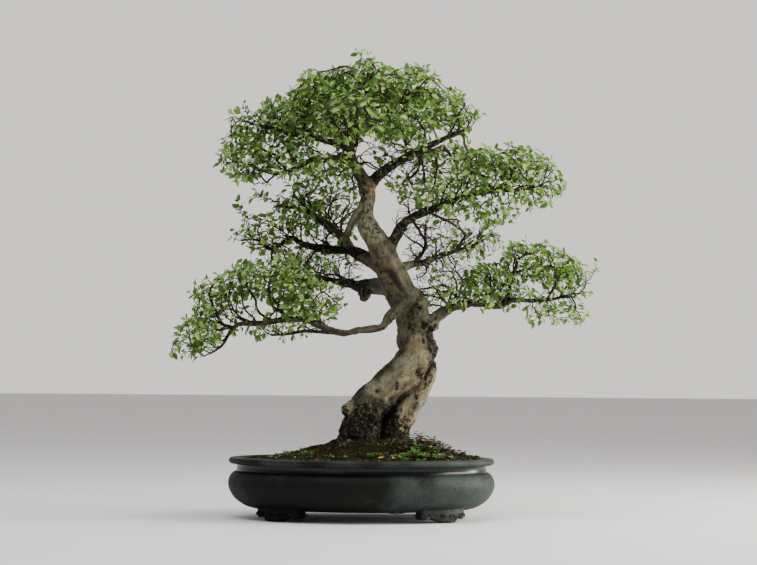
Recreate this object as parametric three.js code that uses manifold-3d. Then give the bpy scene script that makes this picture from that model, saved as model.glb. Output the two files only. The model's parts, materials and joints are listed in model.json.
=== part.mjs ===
// A Chinese elm bonsai in its oval clay pot, in millimetres, +Z up, seen from the front along +Y.
// The pot's middle is the working origin. At the end the whole tree is moved so that the origin
// lies under the middle of its box, on the plane of the pot's feet.

import * as THREE from 'three';
import { mergeVertices } from 'three/addons/utils/BufferGeometryUtils.js';
import Module from 'manifold-3d';

const wasm = await Module();
wasm.setup();
const { Manifold } = wasm;

// Pot
const POT_LENGTH = 528; // over the lip, along X
const POT_WIDTH = 380; // over the lip, along Y
const POT_HEIGHT = 120;
const LIP_THICKNESS = 13;
const NECK_LOW = 93.5; // where the belly turns in to the neck
const NECK_OUT = 174.5; // oval radius
const FOOT_HEIGHT = 20;
const FLOOR_TOP = 32;
const RIM = POT_WIDTH / 2;
const OVAL_STRETCH = (POT_LENGTH - POT_WIDTH) / 2; // how much further the oval reaches along X
const OVAL_SIDES = 28;
const FOOT_ANGLE = 46; // degrees round the oval from +X
const FOOT_DEPTH = 28;
const FOOT_OUT = 150; // oval radius of the middle of a foot
const POT_INSIDE = [[164, 115], [163, 98], [171, 78], [171, 60], [159, 42], [140, FLOOR_TOP]];
const DRAIN_HOLE = { x: 110, radius: 15 };
const WIRE_HOLE = { x: 38, radius: 3 };
const WIRE_RETURN = 102; // where the wire comes up, inside the drain hole
const WIRE_DEPTH = -6; // it runs a little in front of the pot's middle
const WIRE_RADIUS = 1;
const WIRE_LOW = 9.5; // lowest point of the wire's sag under the base
const WIRE_TOP = 70; // where the wire's ends stop in the soil
const SCREEN_SIZE = 46;
const SCREEN_THICKNESS = 1.5;
const SCREEN_WINDOW = 16;
const SCREEN_BAR = 4;

// Soil
const CLEARANCE = 0.4; // between pieces that touch
const SOIL_INSET = 0.6;
const SOIL_EDGE = [163, 108]; // oval radius and height where the soil meets the pot's wall
const SOIL_EDGE_HEIGHT = 112;
const MOUND_RINGS = [154, 120, 84, 44, 0]; // oval radii of the mound's rings
const MOUND_HEIGHT = 46;
const MOUND_CENTRE = 25;
const MOUND_REACH_X = 165;
const MOUND_REACH_Y = 105;

// Tree
const LEAF_LENGTH = 37; // leaves stand for small clusters, larger than the 15 mm of one real leaf
const LEAF_WIDTH = 21;
const LEAF_WIDEST = 0.42; // share of its length where a leaf is widest
const LEAF_SIZES = [0.88, 1.12];
const LEAF_STALK = 2; // width of a leaf's foot on its rib
const LEAF_TURN = 50; // degrees from its rib
const LEAF_TURN_SPREAD = 8;
const LEAF_THICKNESS = 0.8;
const RIB_WIDTH = 2.6;
const STEM_LENGTH = 8; // from a spray's root to its fork
const SPRAY_LENGTH = 70; // along its middle rib, without the end leaf
const SPRAY_ROLL = [52, 82]; // radii that a spray is arched to across its middle rib
const SPRAY_NOD = [95, 155]; // and along it
const SPRAY_SET_BACK = 0.62; // share of a spray that lies before its place's middle
const TWIG_TIP = 1.7; // radius of a twig where its green spray starts
const SHARPEST_BEND = 90; // degrees between a twig's stretches
const SPRAY_GAP = 0.3; // least room round each spray
const TRIES = 240;
const TRY_FURTHER = 0.16; // each try may lie this much further from the first place
const TRY_LOOSER = 0.0035; // and turn this much more
const SEED = 13;

const CLAY = { color: 0x3c403d, roughness: 0.62, metalness: 0 };
const EARTH = { color: 0x4a3a28, roughness: 0.98, metalness: 0 };
const BARK = { color: 0x7d7667, roughness: 0.9, metalness: 0 };
const LEAF = { color: 0x566b3d, roughness: 0.6, metalness: 0 };
const WIRE = { color: 0x2a2420, roughness: 0.5, metalness: 0.6 };
const MESH = { color: 0x1c1f1e, roughness: 0.7, metalness: 0 };

// Each limb is a list of stations: x, y, z and the wood's radius there.
const TRUNK = [
  [-2, 2, 96, 46], [-2, 2, 134, 46], [1, 0, 180, 41], [15, -2, 221, 38], [52, -4, 263, 34],
  [90, -1, 296, 35], [110, 3, 331, 37], [105, 6, 365, 35.5], [101, 6, 399, 34], [88, 4, 429, 31],
  [71, 2, 457, 30], [56, 0, 491, 28], [38, -4, 531, 25], [19, -8, 566, 22], [7, -10, 590, 18.5],
  [4, -12, 616, 14.6], [9, -14, 638, 14.7], [5, -16, 660, 15.5], [-8, -18, 686, 12.3],
  [-20, -20, 709, 10], [-28, -20, 739, 8.4], [-14, -18, 766, 7.2], [3, -14, 793, 6],
  [3, -10, 824, 5], [3, -8, 862, 3.6], [-2, -6, 890, 2.4],
];
const SECOND_STEM = [
  [60, 4, 96, 36], [62, 4, 136, 33], [70, 4, 178, 28], [88, 4, 216, 25], [110, 4, 243, 20.5],
  [127, 5, 270, 17], [134, 6, 298, 16], [130, 6, 325, 15],
];
const ROOTS = [
  [[-10, 4, 150, 24], [-52, 2, 142, 15], [-88, -8, 128, 9], [-122, -14, 112, 5]],
  [[-8, -12, 150, 22], [-32, -42, 138, 14], [-52, -68, 120, 9], [-66, -86, 104, 5]],
  [[10, -14, 146, 20], [16, -52, 134, 13], [12, -82, 114, 8], [14, -102, 98, 4]],
  [[60, -14, 146, 20], [78, -48, 132, 13], [96, -74, 112, 8], [108, -90, 98, 4]],
  [[66, 0, 148, 20], [108, 2, 138, 13], [146, -8, 122, 8], [176, -14, 106, 4]],
  [[60, 14, 146, 20], [92, 46, 132, 12], [116, 70, 112, 8], [128, 84, 98, 4]],
  [[-8, 16, 146, 20], [-28, 50, 132, 13], [-44, 78, 112, 8], [-52, 92, 98, 4]],
];
const LIMBS = {
  right_upper: [
    [44, 0, 520, 15], [63, -10, 558, 12], [77, -20, 582, 10], [99, -30, 599, 9], [128, -38, 611, 8],
    [168, -45, 626, 6.6], [211, -50, 642, 5.4], [260, -50, 650, 4.2], [310, -45, 653, 3.2],
    [350, -40, 662, 2.2],
  ],
  right_lower: [
    [112, 4, 372, 20], [143, 0, 397, 14], [164, -8, 413, 10.5], [190, -15, 423, 8.4],
    [229, -25, 429, 6.8], [271, -30, 423, 5.8], [300, -30, 435, 5], [338, -28, 434, 4],
    [378, -25, 438, 3.2], [418, -20, 449, 2.2],
  ],
  right_back: [
    [66, 6, 494, 13], [99, 60, 511, 8], [128, 95, 518, 6.2], [160, 120, 532, 5], [196, 140, 546, 3.7],
    [232, 150, 560, 2.3],
  ],
  left_back: [
    [40, 4, 500, 18], [-3, 40, 525, 14], [-28, 60, 539, 11.4], [-56, 75, 540, 9.4], [-94, 85, 544, 7.8],
    [-124, 85, 552, 6.1], [-149, 80, 564, 4.9], [-170, 75, 550, 4.1], [-191, 70, 540, 3.6],
    [-218, 65, 558, 2.8], [-250, 60, 557, 2],
  ],
  left_back_high: [
    [-23, 55, 538, 10], [-40, 60, 563, 9.6], [-61, 62, 575, 8.2], [-81, 60, 595, 6.9],
    [-106, 55, 611, 5.3], [-134, 50, 622, 3.8], [-160, 45, 624, 2.4],
  ],
  left_low_back: [
    [58, 8, 462, 20], [22, 60, 466, 17], [-7, 95, 467, 13], [-38, 125, 475, 8.7], [-81, 150, 482, 6.7],
    [-123, 165, 482, 5], [-157, 170, 485, 3],
  ],
  left_front: [
    [106, -8, 440, 20], [94, -32, 430, 14], [70, -38, 415, 12], [52, -44, 397, 10.4], [40, -50, 381, 9.2],
    [19, -55, 375, 8.2], [-9, -60, 371, 7.6], [-38, -65, 366, 7.2], [-75, -70, 378, 6.6],
    [-112, -75, 391, 6.2], [-146, -80, 392, 5.9], [-184, -85, 386, 5.6], [-219, -88, 382, 5],
    [-243, -90, 380, 4.4], [-260, -90, 362, 3.5], [-273, -90, 340, 2.7], [-295, -88, 324, 2],
  ],
  left_front_low: [
    [-38, -62, 366, 4.4], [-76, -50, 368, 3.7], [-114, -40, 370, 3.4], [-149, -35, 364, 2.8],
    [-181, -30, 362, 2.1],
  ],
  hanging_root: [[4, -12, 622, 12], [-20, -8, 596, 8.8], [-33, 2, 566, 7.2], [-40, 14, 544, 6]],
  crown_right: [
    [6, -16, 656, 13], [24, -22, 677, 11.5], [48, -28, 697, 10.3], [78, -32, 715, 9], [112, -32, 733, 7.8],
    [146, -28, 750, 6], [176, -22, 765, 4.4], [202, -15, 776, 2.8],
  ],
  crown_left: [
    [-18, -20, 703, 9.5], [-48, -26, 716, 7.5], [-84, -30, 712, 6.3], [-117, -30, 705, 5.2],
    [-147, -28, 691, 4], [-177, -25, 682, 2.6],
  ],
  crown_left_high: [
    [-28, -20, 735, 8], [-58, -20, 747, 6.4], [-100, -16, 758, 5.6], [-147, -10, 766, 4.6],
    [-189, -5, 780, 3.6], [-228, 0, 787, 2.4],
  ],
  crown_front: [[-27, -20, 731, 7.8], [-28, -60, 744, 5.9], [-23, -100, 759, 4.3], [-27, -133, 773, 2.8]],
  crown_back: [
    [-14, -12, 697, 10], [-25, 30, 723, 7.7], [-26, 75, 756, 6.1], [-22, 120, 793, 4.5],
    [-19, 152, 820, 2.9],
  ],
  crown_top_right: [[3, -14, 789, 5.8], [31, -10, 802, 4.8], [63, -5, 821, 4], [95, 0, 842, 3.1]],
};
const BURLS = [
  { at: [-22, -6, 216], size: [18, 19, 16], detail: 0 },
  { at: [20, -12, 257], size: [18, 18, 15], detail: 1 },
  { at: [40, -32, 232], size: [15, 10, 11], detail: 0 },
  { at: [112, -18, 428], size: [22, 20, 16], detail: 1 },
  { at: [134, 0, 388], size: [19, 18, 16], detail: 0 },
  { at: [4, -24, 652], size: [13, 10, 18], detail: 0 },
  { at: [4, 78, 452], size: [13, 12, 18], detail: 0 },
];

// Foliage clumps: centre, half sizes and how many leafy sprays grow there.
const CLUMPS = [
  { at: [1, -5, 866], half: [68, 80, 44], sprays: 3 },
  { at: [-79, -15, 851], half: [64, 80, 44], sprays: 2 },
  { at: [-157, -8, 794], half: [64, 80, 44], sprays: 2 },
  { at: [-238, 0, 738], half: [54, 70, 52], sprays: 3 },
  { at: [-151, -30, 711], half: [67, 60, 34], sprays: 1 },
  { at: [91, 8, 868], half: [56, 70, 40], sprays: 2 },
  { at: [166, 0, 829], half: [52, 60, 36], sprays: 1 },
  { at: [77, -55, 780], half: [67, 50, 39], sprays: 2 },
  { at: [-23, -110, 785], half: [66, 55, 50], sprays: 1 },
  { at: [-67, -60, 698], half: [55, 50, 28], sprays: 1 },
  { at: [-89, 110, 828], half: [91, 60, 62], sprays: 2 },
  { at: [73, 105, 829], half: [90, 60, 58], sprays: 2 },
  { at: [314, -40, 706], half: [63, 60, 40], sprays: 2 },
  { at: [238, -50, 696], half: [67, 65, 47], sprays: 1 },
  { at: [161, -62, 638], half: [63, 50, 35], sprays: 1 },
  { at: [345, -35, 651], half: [44, 50, 36], sprays: 1 },
  { at: [255, -48, 609], half: [59, 45, 26], sprays: 1 },
  { at: [104, 70, 680], half: [65, 55, 49], sprays: 1 },
  { at: [180, 80, 731], half: [65, 55, 41], sprays: 1 },
  { at: [390, -22, 490], half: [52, 55, 50], sprays: 2 },
  { at: [334, -5, 517], half: [62, 60, 44], sprays: 2 },
  { at: [256, -30, 467], half: [61, 60, 44], sprays: 2 },
  { at: [374, -25, 414], half: [58, 45, 28], sprays: 1 },
  { at: [150, 120, 534], half: [74, 55, 45], sprays: 1 },
  { at: [232, 140, 560], half: [62, 50, 33], sprays: 1 },
  { at: [-203, 62, 570], half: [63, 55, 41], sprays: 1 },
  { at: [-128, 48, 614], half: [59, 55, 43], sprays: 1 },
  { at: [-97, 30, 658], half: [56, 50, 28], sprays: 1 },
  { at: [-67, 85, 594], half: [55, 50, 49], sprays: 1 },
  { at: [-120, 150, 505], half: [62, 55, 42], sprays: 1 },
  { at: [-312, -92, 364], half: [45, 50, 43], sprays: 2 },
  { at: [-289, -80, 436], half: [49, 50, 41], sprays: 2 },
  { at: [-225, -70, 469], half: [61, 55, 37], sprays: 1 },
  { at: [-151, -70, 462], half: [61, 55, 45], sprays: 1 },
  { at: [-118, -90, 410], half: [59, 50, 25], sprays: 1 },
];

// A repeatable stream of numbers from 0 to 1.
function seededRandom(seed) {
  let state = seed;
  return () => {
    state = (state * 1664525 + 1013904223) % 4294967296;
    return state / 4294967296;
  };
}

function chosenBetween([low, high], random) {
  return low + (high - low) * random();
}

// Joins a geometry's shared corners and makes a solid of it.
function solidOf(geometry) {
  const bare = geometry.clone();
  bare.deleteAttribute('normal');
  bare.deleteAttribute('uv');
  const joined = mergeVertices(bare, 1e-3);
  const corners = joined.index.array;
  const kept = [];
  for (let i = 0; i < corners.length; i += 3) {
    const [a, b, c] = [corners[i], corners[i + 1], corners[i + 2]];
    if (a !== b && b !== c && c !== a) {
      kept.push(a, b, c);
    }
  }
  const vertProperties = new Float32Array(joined.attributes.position.array);
  return new Manifold(new wasm.Mesh({ numProp: 3, vertProperties, triVerts: new Uint32Array(kept) }));
}

// Makes a named, coloured mesh of a solid.
function meshOf(name, solid, finish) {
  const data = solid.getMesh();
  const geometry = new THREE.BufferGeometry();
  geometry.setAttribute('position', new THREE.BufferAttribute(new Float32Array(data.vertProperties), 3));
  geometry.setIndex(new THREE.BufferAttribute(new Uint32Array(data.triVerts), 1));
  geometry.computeVertexNormals();
  const mesh = new THREE.Mesh(geometry, new THREE.MeshStandardMaterial(finish));
  mesh.name = name;
  return mesh;
}

// Moves each corner of a geometry to the point that rule(corner) gives.
function reshape(geometry, rule) {
  const places = geometry.attributes.position;
  const corner = new THREE.Vector3();
  for (let i = 0; i < places.count; i += 1) {
    corner.fromBufferAttribute(places, i);
    rule(corner);
    places.setXYZ(i, corner.x, corner.y, corner.z);
  }
  return geometry;
}

// Spins a profile of [oval radius, height] points into an oval basin or mound. A height may be a
// number or a rule of x and y. Radius 0 is the short line at the middle of the oval.
function ovalLathe(profile) {
  const points = profile.map(([radius]) => new THREE.Vector2(radius, 0));
  const lathe = new THREE.LatheGeometry(points, OVAL_SIDES);
  const places = lathe.attributes.position;
  for (let i = 0; i < places.count; i += 1) {
    const angle = (Math.floor(i / profile.length) / OVAL_SIDES) * 2 * Math.PI;
    const [radius, height] = profile[i % profile.length];
    const x = (radius + OVAL_STRETCH) * Math.sin(angle);
    const y = -radius * Math.cos(angle);
    places.setXYZ(i, x, y, typeof height === 'function' ? height(x, y) : height);
  }
  return solidOf(lathe);
}

// A round tube along a limb's stations, with ridges if asked, closed at both ends.
function limb(stations, sides, steps, { grow = 0, ridges = 0 } = {}) {
  const centres = stations.map(([x, y, z]) => new THREE.Vector3(x, y, z));
  const radii = stations.map(([, , , radius]) => new THREE.Vector3(radius, 0, 0));
  const route = new THREE.CatmullRomCurve3(centres, false, 'catmullrom');
  const widths = new THREE.CatmullRomCurve3(radii, false, 'catmullrom');
  const frames = [];
  const side = new THREE.Vector3(0, 1, 0).cross(route.getTangent(0));
  if (side.length() < 0.2) {
    side.set(1, 0, 0);
  }
  for (let i = 0; i <= steps; i += 1) {
    const ahead = route.getTangent(i / steps);
    side.addScaledVector(ahead, -side.dot(ahead)).normalize();
    frames.push({
      centre: route.getPoint(i / steps),
      radius: widths.getPoint(i / steps).x + grow,
      right: side.clone(),
      up: side.clone().cross(ahead),
    });
  }
  const tube = new THREE.CylinderGeometry(1, 1, 1, sides, steps);
  reshape(tube, (corner) => {
    const level = Math.round((corner.y + 0.5) * steps);
    const { centre, radius, right, up } = frames[level];
    const turn = Math.atan2(corner.z, corner.x);
    const wave = Math.sin(3 * turn + level * 0.5) + 0.6 * Math.sin(5 * turn - level * 0.3);
    const reach = radius * (1 + ridges * wave);
    const [a, b] = [corner.x * reach, corner.z * reach];
    corner.copy(centre).addScaledVector(right, a).addScaledVector(up, b);
  });
  return solidOf(tube);
}

// A knotty lump, rough by a formula.
function burl({ at, size, detail }, index) {
  const lump = new THREE.IcosahedronGeometry(1, detail);
  reshape(lump, (corner) => {
    const rough = 1 + 0.12 * Math.sin(7 * corner.x + index) * Math.cos(6 * corner.y - 2 * index);
    corner.multiply(new THREE.Vector3(...size)).multiplyScalar(rough).add(new THREE.Vector3(...at));
  });
  return solidOf(lump);
}

// An upright rod through the pot's floor, for cutting a round hole.
function floorRod(x, y, radius, sides) {
  const height = FLOOR_TOP + 5;
  const geometry = new THREE.CylinderGeometry(radius, radius, height, sides);
  geometry.rotateX(Math.PI / 2);
  return solidOf(geometry.translate(x, y, height / 2));
}

// The biggest body of a solid, with loose scraps and sealed hollows left out.
function biggestBody(solid) {
  const bodies = solid.decompose();
  return bodies.reduce((best, body) => (body.volume() > best.volume() ? body : best));
}

// One cloud foot: a scroll at each end and a lobe with a flat sole, bent along the oval.
function cloudFoot(angle) {
  const half = 49;
  const scroll = 6.5;
  const sole = 19;
  const top = FOOT_HEIGHT + 10.5;
  const scrollHeight = FOOT_HEIGHT - 7;
  const waist = FOOT_HEIGHT - 5;
  const outline = new THREE.Shape();
  outline.moveTo(-half, top);
  outline.absarc(-half + scroll, scrollHeight, scroll, Math.PI * 0.9, Math.PI * 1.85, false);
  outline.lineTo(-half + 17, waist);
  outline.quadraticCurveTo(-sole - 8, 1, -sole, 0);
  outline.lineTo(sole, 0);
  outline.quadraticCurveTo(sole + 8, 1, half - 17, waist);
  outline.absarc(half - scroll, scrollHeight, scroll, Math.PI * 1.15, Math.PI * 2.1, false);
  outline.lineTo(half, top);
  const block = new THREE.ExtrudeGeometry(outline, {
    depth: FOOT_DEPTH, bevelEnabled: false, curveSegments: 2, steps: 1,
  });
  const middle = THREE.MathUtils.degToRad(angle);
  const spread = Math.hypot((FOOT_OUT + OVAL_STRETCH) * Math.sin(middle), FOOT_OUT * Math.cos(middle));
  reshape(block, (corner) => {
    const turned = middle + corner.x / spread;
    const radius = FOOT_OUT - FOOT_DEPTH / 2 + corner.z;
    corner.set((radius + OVAL_STRETCH) * Math.cos(turned), radius * Math.sin(turned), corner.y);
  });
  return solidOf(block);
}

function makePot() {
  const lipLow = POT_HEIGHT - LIP_THICKNESS;
  const body = ovalLathe([
    [0, FOOT_HEIGHT], [141, FOOT_HEIGHT], [155, 24], [169, 32], [180, 42], [188, 55], [191.5, 69],
    [188.5, 80], [182, 90], [NECK_OUT, NECK_LOW], [NECK_OUT, lipLow], [186.5, lipLow + 1], [RIM, lipLow + 4],
    [RIM, POT_HEIGHT - 4], [186, POT_HEIGHT], [170, POT_HEIGHT], ...POT_INSIDE, [0, FLOOR_TOP],
  ]);
  const feet = [FOOT_ANGLE, 180 - FOOT_ANGLE, 180 + FOOT_ANGLE, 360 - FOOT_ANGLE].map(cloudFoot);
  const holes = [-1, 1].flatMap((side) => [
    floorRod(side * DRAIN_HOLE.x, 0, DRAIN_HOLE.radius, 14),
    floorRod(side * WIRE_HOLE.x, WIRE_DEPTH, WIRE_HOLE.radius, 6),
  ]);
  return Manifold.union([body, ...feet]).subtract(Manifold.union(holes));
}

// The tie wire: down through its hole, under the base in a sag, and up a drain hole.
function makeWire(grow) {
  const inFloor = (FOOT_HEIGHT + FLOOR_TOP) / 2;
  const down = [
    [WIRE_HOLE.x, WIRE_TOP], [WIRE_HOLE.x, 44], [WIRE_HOLE.x, inFloor],
    [WIRE_HOLE.x + 0.5, FOOT_HEIGHT - 1], [WIRE_HOLE.x + 9, WIRE_LOW + 4],
  ];
  const middle = (WIRE_HOLE.x + WIRE_RETURN) / 2;
  const up = down.map(([x, z]) => [2 * middle - x, z]).reverse();
  const route = [...down, [middle, WIRE_LOW], ...up];
  return limb(route.map(([x, z]) => [x, WIRE_DEPTH, z, WIRE_RADIUS]), 4, 18, { grow });
}

// A square block that stands on a height.
function squareBlock(x, y, low, side, height) {
  const block = new THREE.BoxGeometry(side, side, height);
  return solidOf(block.translate(x, y, low + height / 2));
}

// A square drain screen of plastic mesh over a drain hole.
function makeScreen(x) {
  const low = FLOOR_TOP + CLEARANCE;
  const aside = (SCREEN_WINDOW + SCREEN_BAR) / 2;
  const windows = [];
  for (const column of [-aside, aside]) {
    for (const row of [-aside, aside]) {
      windows.push(squareBlock(x + column, row, low - 1, SCREEN_WINDOW, SCREEN_THICKNESS + 2));
    }
  }
  return squareBlock(x, 0, low, SCREEN_SIZE, SCREEN_THICKNESS).subtract(Manifold.union(windows));
}

// Height of the soil, a mound that rises to the trunk's foot.
function soilHeight(x, y) {
  const across = (x - MOUND_CENTRE) / MOUND_REACH_X;
  const deep = y / MOUND_REACH_Y;
  const waves = 1.6 * Math.sin(x / 17 + 1) * Math.cos(y / 14) + 1.2 * Math.sin(x / 9 - y / 12);
  return SOIL_EDGE_HEIGHT + MOUND_HEIGHT * Math.exp(-across * across - deep * deep) + waves;
}

function makeSoil(foot) {
  const wall = POT_INSIDE.slice(1).reverse();
  const mound = ovalLathe([
    [0, FLOOR_TOP + CLEARANCE],
    ...wall.map(([radius, height]) => [radius - SOIL_INSET, height + CLEARANCE]),
    SOIL_EDGE,
    ...MOUND_RINGS.map((radius) => [radius, soilHeight]),
  ]);
  const screenRooms = [-DRAIN_HOLE.x, DRAIN_HOLE.x].map((x) => (
    squareBlock(x, 0, FLOOR_TOP, SCREEN_SIZE + 2 * CLEARANCE, SCREEN_THICKNESS + 2 * CLEARANCE)
  ));
  const rooms = [foot, makeWire(CLEARANCE), ...screenRooms];
  return biggestBody(mound.subtract(Manifold.union(rooms)));
}

// The trunk's foot alone, with its roots. Grown a little it makes the hole that it stands in.
function makeFoot(grow) {
  const stems = [
    limb(TRUNK, 10, 19, { grow, ridges: 0.035 }),
    limb(SECOND_STEM, 8, 7, { grow, ridges: 0.04 }),
  ];
  const roots = ROOTS.map((root) => limb(root, 6, 3, { grow, ridges: 0.05 }));
  return Manifold.union([...stems, ...roots]);
}

// Points along every limb, which twigs grow from.
function limbPoints() {
  const points = [];
  for (const stations of Object.values(LIMBS)) {
    const route = new THREE.CatmullRomCurve3(stations.map(([x, y, z]) => new THREE.Vector3(x, y, z)));
    const count = stations.length * 3;
    for (let i = 2; i <= count; i += 1) {
      const level = (i / count) * (stations.length - 1);
      const [low, high] = [Math.floor(level), Math.ceil(level)];
      const radius = THREE.MathUtils.lerp(stations[low][3], stations[high][3], level - low);
      points.push({ at: route.getPoint(i / count), radius });
    }
  }
  return points;
}

function randomSpread(random, size) {
  return new THREE.Vector3(random() - 0.5, random() - 0.5, random() - 0.5).multiplyScalar(2 * size);
}

// Where each green spray starts and which way it heads, spread through its clump.
function sprayStarts(random) {
  const starts = [];
  for (const { at, half, sprays } of CLUMPS) {
    const middle = new THREE.Vector3(...at);
    const size = new THREE.Vector3(...half);
    const outward = new THREE.Vector3(middle.x - 20, middle.y * 1.5, 30 + random() * 20).normalize();
    const firstTurn = random() * Math.PI;
    for (let i = 0; i < sprays; i += 1) {
      const turn = firstTurn + (i * 2 * Math.PI) / sprays;
      const ring = new THREE.Vector3(Math.cos(turn), 0.7 * Math.sin(turn), 0.45 * Math.sin(turn + 1));
      const heading = outward.clone().addScaledVector(ring, sprays > 1 ? 0.95 : 0.2);
      heading.add(randomSpread(random, 0.2)).normalize();
      const offset = ring.multiply(size).multiplyScalar(sprays > 1 ? 0.38 : 0.05);
      const start = middle.clone().add(offset).addScaledVector(heading, -SPRAY_SET_BACK * SPRAY_LENGTH);
      starts.push({ start, heading });
    }
  }
  return starts;
}

// A thin twig's stations, from the nearest wood to a point that it reaches along its heading.
function twigStations(points, target, heading, random) {
  let from = points[0];
  let least = Infinity;
  for (const point of points) {
    const away = target.clone().sub(point.at);
    const turnedBack = 1 - Math.max(-0.4, away.clone().normalize().dot(heading));
    const cost = away.length() * (1 + 0.5 * turnedBack) + (point.radius < TWIG_TIP + 0.3 ? 25 : 0);
    if (cost < least) {
      least = cost;
      from = point;
    }
  }
  const length = target.distanceTo(from.at);
  const root = Math.min(from.radius * 0.8, TWIG_TIP + 0.6 + length * 0.018);
  const early = from.at.clone().lerp(target, 0.38).add(randomSpread(random, length * 0.09));
  const late = target.clone().addScaledVector(heading, -length * 0.26);
  late.add(randomSpread(random, length * 0.05));
  const width = (share) => THREE.MathUtils.lerp(root, TWIG_TIP, share);
  return [[...from.at, root], [...early, width(0.3)], [...late, width(0.7)], [...target, TWIG_TIP]];
}

// The ribs of a spray, as turn from its middle, length, and where leaves leave each side.
const RIBS = [
  { turn: -52, length: 0.62, right: [0.4], left: [] },
  { turn: 0, length: 1, right: [0.62], left: [0.5, 0.86] },
  { turn: 50, length: 0.66, right: [], left: [0.36] },
];

function direction(degrees) {
  const angle = THREE.MathUtils.degToRad(degrees);
  return new THREE.Vector2(Math.cos(angle), Math.sin(angle));
}

// The three outer corners of one leaf, from its right edge over its tip to its left edge.
function leafCorners(base, turn, size) {
  const ahead = direction(turn);
  const left = new THREE.Vector2(-ahead.y, ahead.x);
  const place = (along, across) => base.clone().addScaledVector(ahead, along).addScaledVector(left, across);
  const half = (LEAF_WIDTH / 2) * size;
  const widest = LEAF_LENGTH * size * LEAF_WIDEST;
  return [place(widest, -half), place(LEAF_LENGTH * size, 0), place(widest, half)];
}

// Triangles between the right and left side of a strip, each a list of corners from its root out.
function zipped(right, left, points) {
  const root = points[right[0]];
  const reach = (corner) => (corner === undefined ? Infinity : points[corner].distanceTo(root));
  const faces = [];
  let [i, j] = [0, 0];
  while (i < right.length - 1 || j < left.length - 1) {
    if (reach(right[i + 1]) < reach(left[j + 1])) {
      faces.push([right[i], right[i + 1], left[j]]);
      i += 1;
    } else {
      faces.push([right[i], left[j + 1], left[j]]);
      j += 1;
    }
  }
  return faces;
}

// The flat plan of a spray: the points of its outline, counter-clockwise, and the triangles that
// fill it. Its stem starts at the origin and heads along +X, then forks into its ribs.
function sprayPlan(random) {
  const points = [];
  const faces = [];
  const half = RIB_WIDTH / 2;
  const fork = new THREE.Vector2(STEM_LENGTH, 0);
  const add = (point) => points.push(point) - 1;
  const addLeaf = (first, last, turn) => {
    const base = points[first].clone().lerp(last, 0.5);
    const size = chosenBetween(LEAF_SIZES, random);
    const [side, tip, otherSide] = leafCorners(base, turn, size).map(add);
    const end = add(last);
    faces.push([first, side, tip], [first, tip, end], [tip, otherSide, end]);
    return end;
  };
  const hub = [add(new THREE.Vector2(0, -half))];
  RIBS.forEach((rib, index) => {
    const ahead = direction(rib.turn);
    const aside = new THREE.Vector2(-ahead.y, ahead.x);
    const place = (along, across) => (
      fork.clone().addScaledVector(ahead, along).addScaledVector(aside, across)
    );
    const length = rib.length * SPRAY_LENGTH;
    const right = [hub[index]];
    const left = [];
    for (const share of rib.right) {
      const first = add(place(share * length, -half));
      const last = place(share * length + LEAF_STALK, -half);
      right.push(first, addLeaf(first, last, rib.turn - LEAF_TURN - LEAF_TURN_SPREAD * random()));
    }
    const first = add(place(length, -half));
    right.push(first);
    left.unshift(addLeaf(first, place(length, half), rib.turn + LEAF_TURN_SPREAD * (2 * random() - 1)));
    for (const share of [...rib.left].reverse()) {
      const outer = add(place(share * length + LEAF_STALK, half));
      const turn = rib.turn + LEAF_TURN + LEAF_TURN_SPREAD * random();
      const inner = addLeaf(outer, place(share * length, half), turn);
      left.unshift(inner, outer);
    }
    const next = RIBS[index + 1];
    const between = next ? THREE.MathUtils.degToRad(next.turn - rib.turn) / 2 : 0;
    const notch = next && direction((rib.turn + next.turn) / 2).multiplyScalar(half / Math.sin(between));
    hub.push(add(next ? notch.add(fork) : new THREE.Vector2(0, half)));
    faces.push(...zipped(right, [hub[index + 1], ...left], points));
  });
  faces.push([hub[0], hub[1], hub[2]], [hub[0], hub[2], hub[3]]);
  return { points, faces };
}

// How far a point is from a straight side between two others.
function distanceToSide(point, from, to) {
  const along = to.clone().sub(from);
  const share = point.clone().sub(from).dot(along) / along.lengthSq();
  return from.clone().addScaledVector(along, THREE.MathUtils.clamp(share, 0, 1)).distanceTo(point);
}

// Whether two sides of a closed outline that share no corner cross or nearly touch.
function crossesItself(points) {
  const side = (a, b, c) => Math.sign(b.clone().sub(a).cross(c.clone().sub(a)));
  return points.some((a, i) => {
    const b = points[(i + 1) % points.length];
    return points.some((c, j) => {
      const d = points[(j + 1) % points.length];
      if (c === a || c === b || d === a) {
        return false;
      }
      const crossing = side(a, b, c) !== side(a, b, d) && side(c, d, a) !== side(c, d, b);
      return crossing || distanceToSide(c, a, b) < SPRAY_GAP || distanceToSide(d, a, b) < SPRAY_GAP;
    });
  });
}

// A green spray: one thin blade cut to its ribs between the leaves, arched like a cupped hand, with
// its back towards +Z. Both faces are split into triangles alike.
function sprayBlade(random) {
  let plan = sprayPlan(random);
  while (crossesItself(plan.points)) {
    plan = sprayPlan(random);
  }
  const across = chosenBetween(SPRAY_ROLL, random);
  const along = chosenBetween(SPRAY_NOD, random);
  const bend = ({ x, y }, height) => {
    const [roll, nod] = [y / across, x / along];
    const side = (across + height) * Math.sin(roll);
    const out = along + (across + height) * Math.cos(roll) - across;
    return new THREE.Vector3(out * Math.sin(nod), side, out * Math.cos(nod) - along);
  };
  const count = plan.points.length;
  const lower = plan.points.map((point) => bend(point, 0));
  const upper = plan.points.map((point) => bend(point, LEAF_THICKNESS));
  const faces = plan.faces.flatMap(([a, b, c]) => [a, c, b, a + count, b + count, c + count]);
  const edges = plan.points.flatMap((_, a) => {
    const b = (a + 1) % count;
    return [a, b, b + count, a, b + count, a + count];
  });
  return new THREE.BufferGeometry().setFromPoints([...lower, ...upper]).setIndex([...faces, ...edges]);
}

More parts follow.
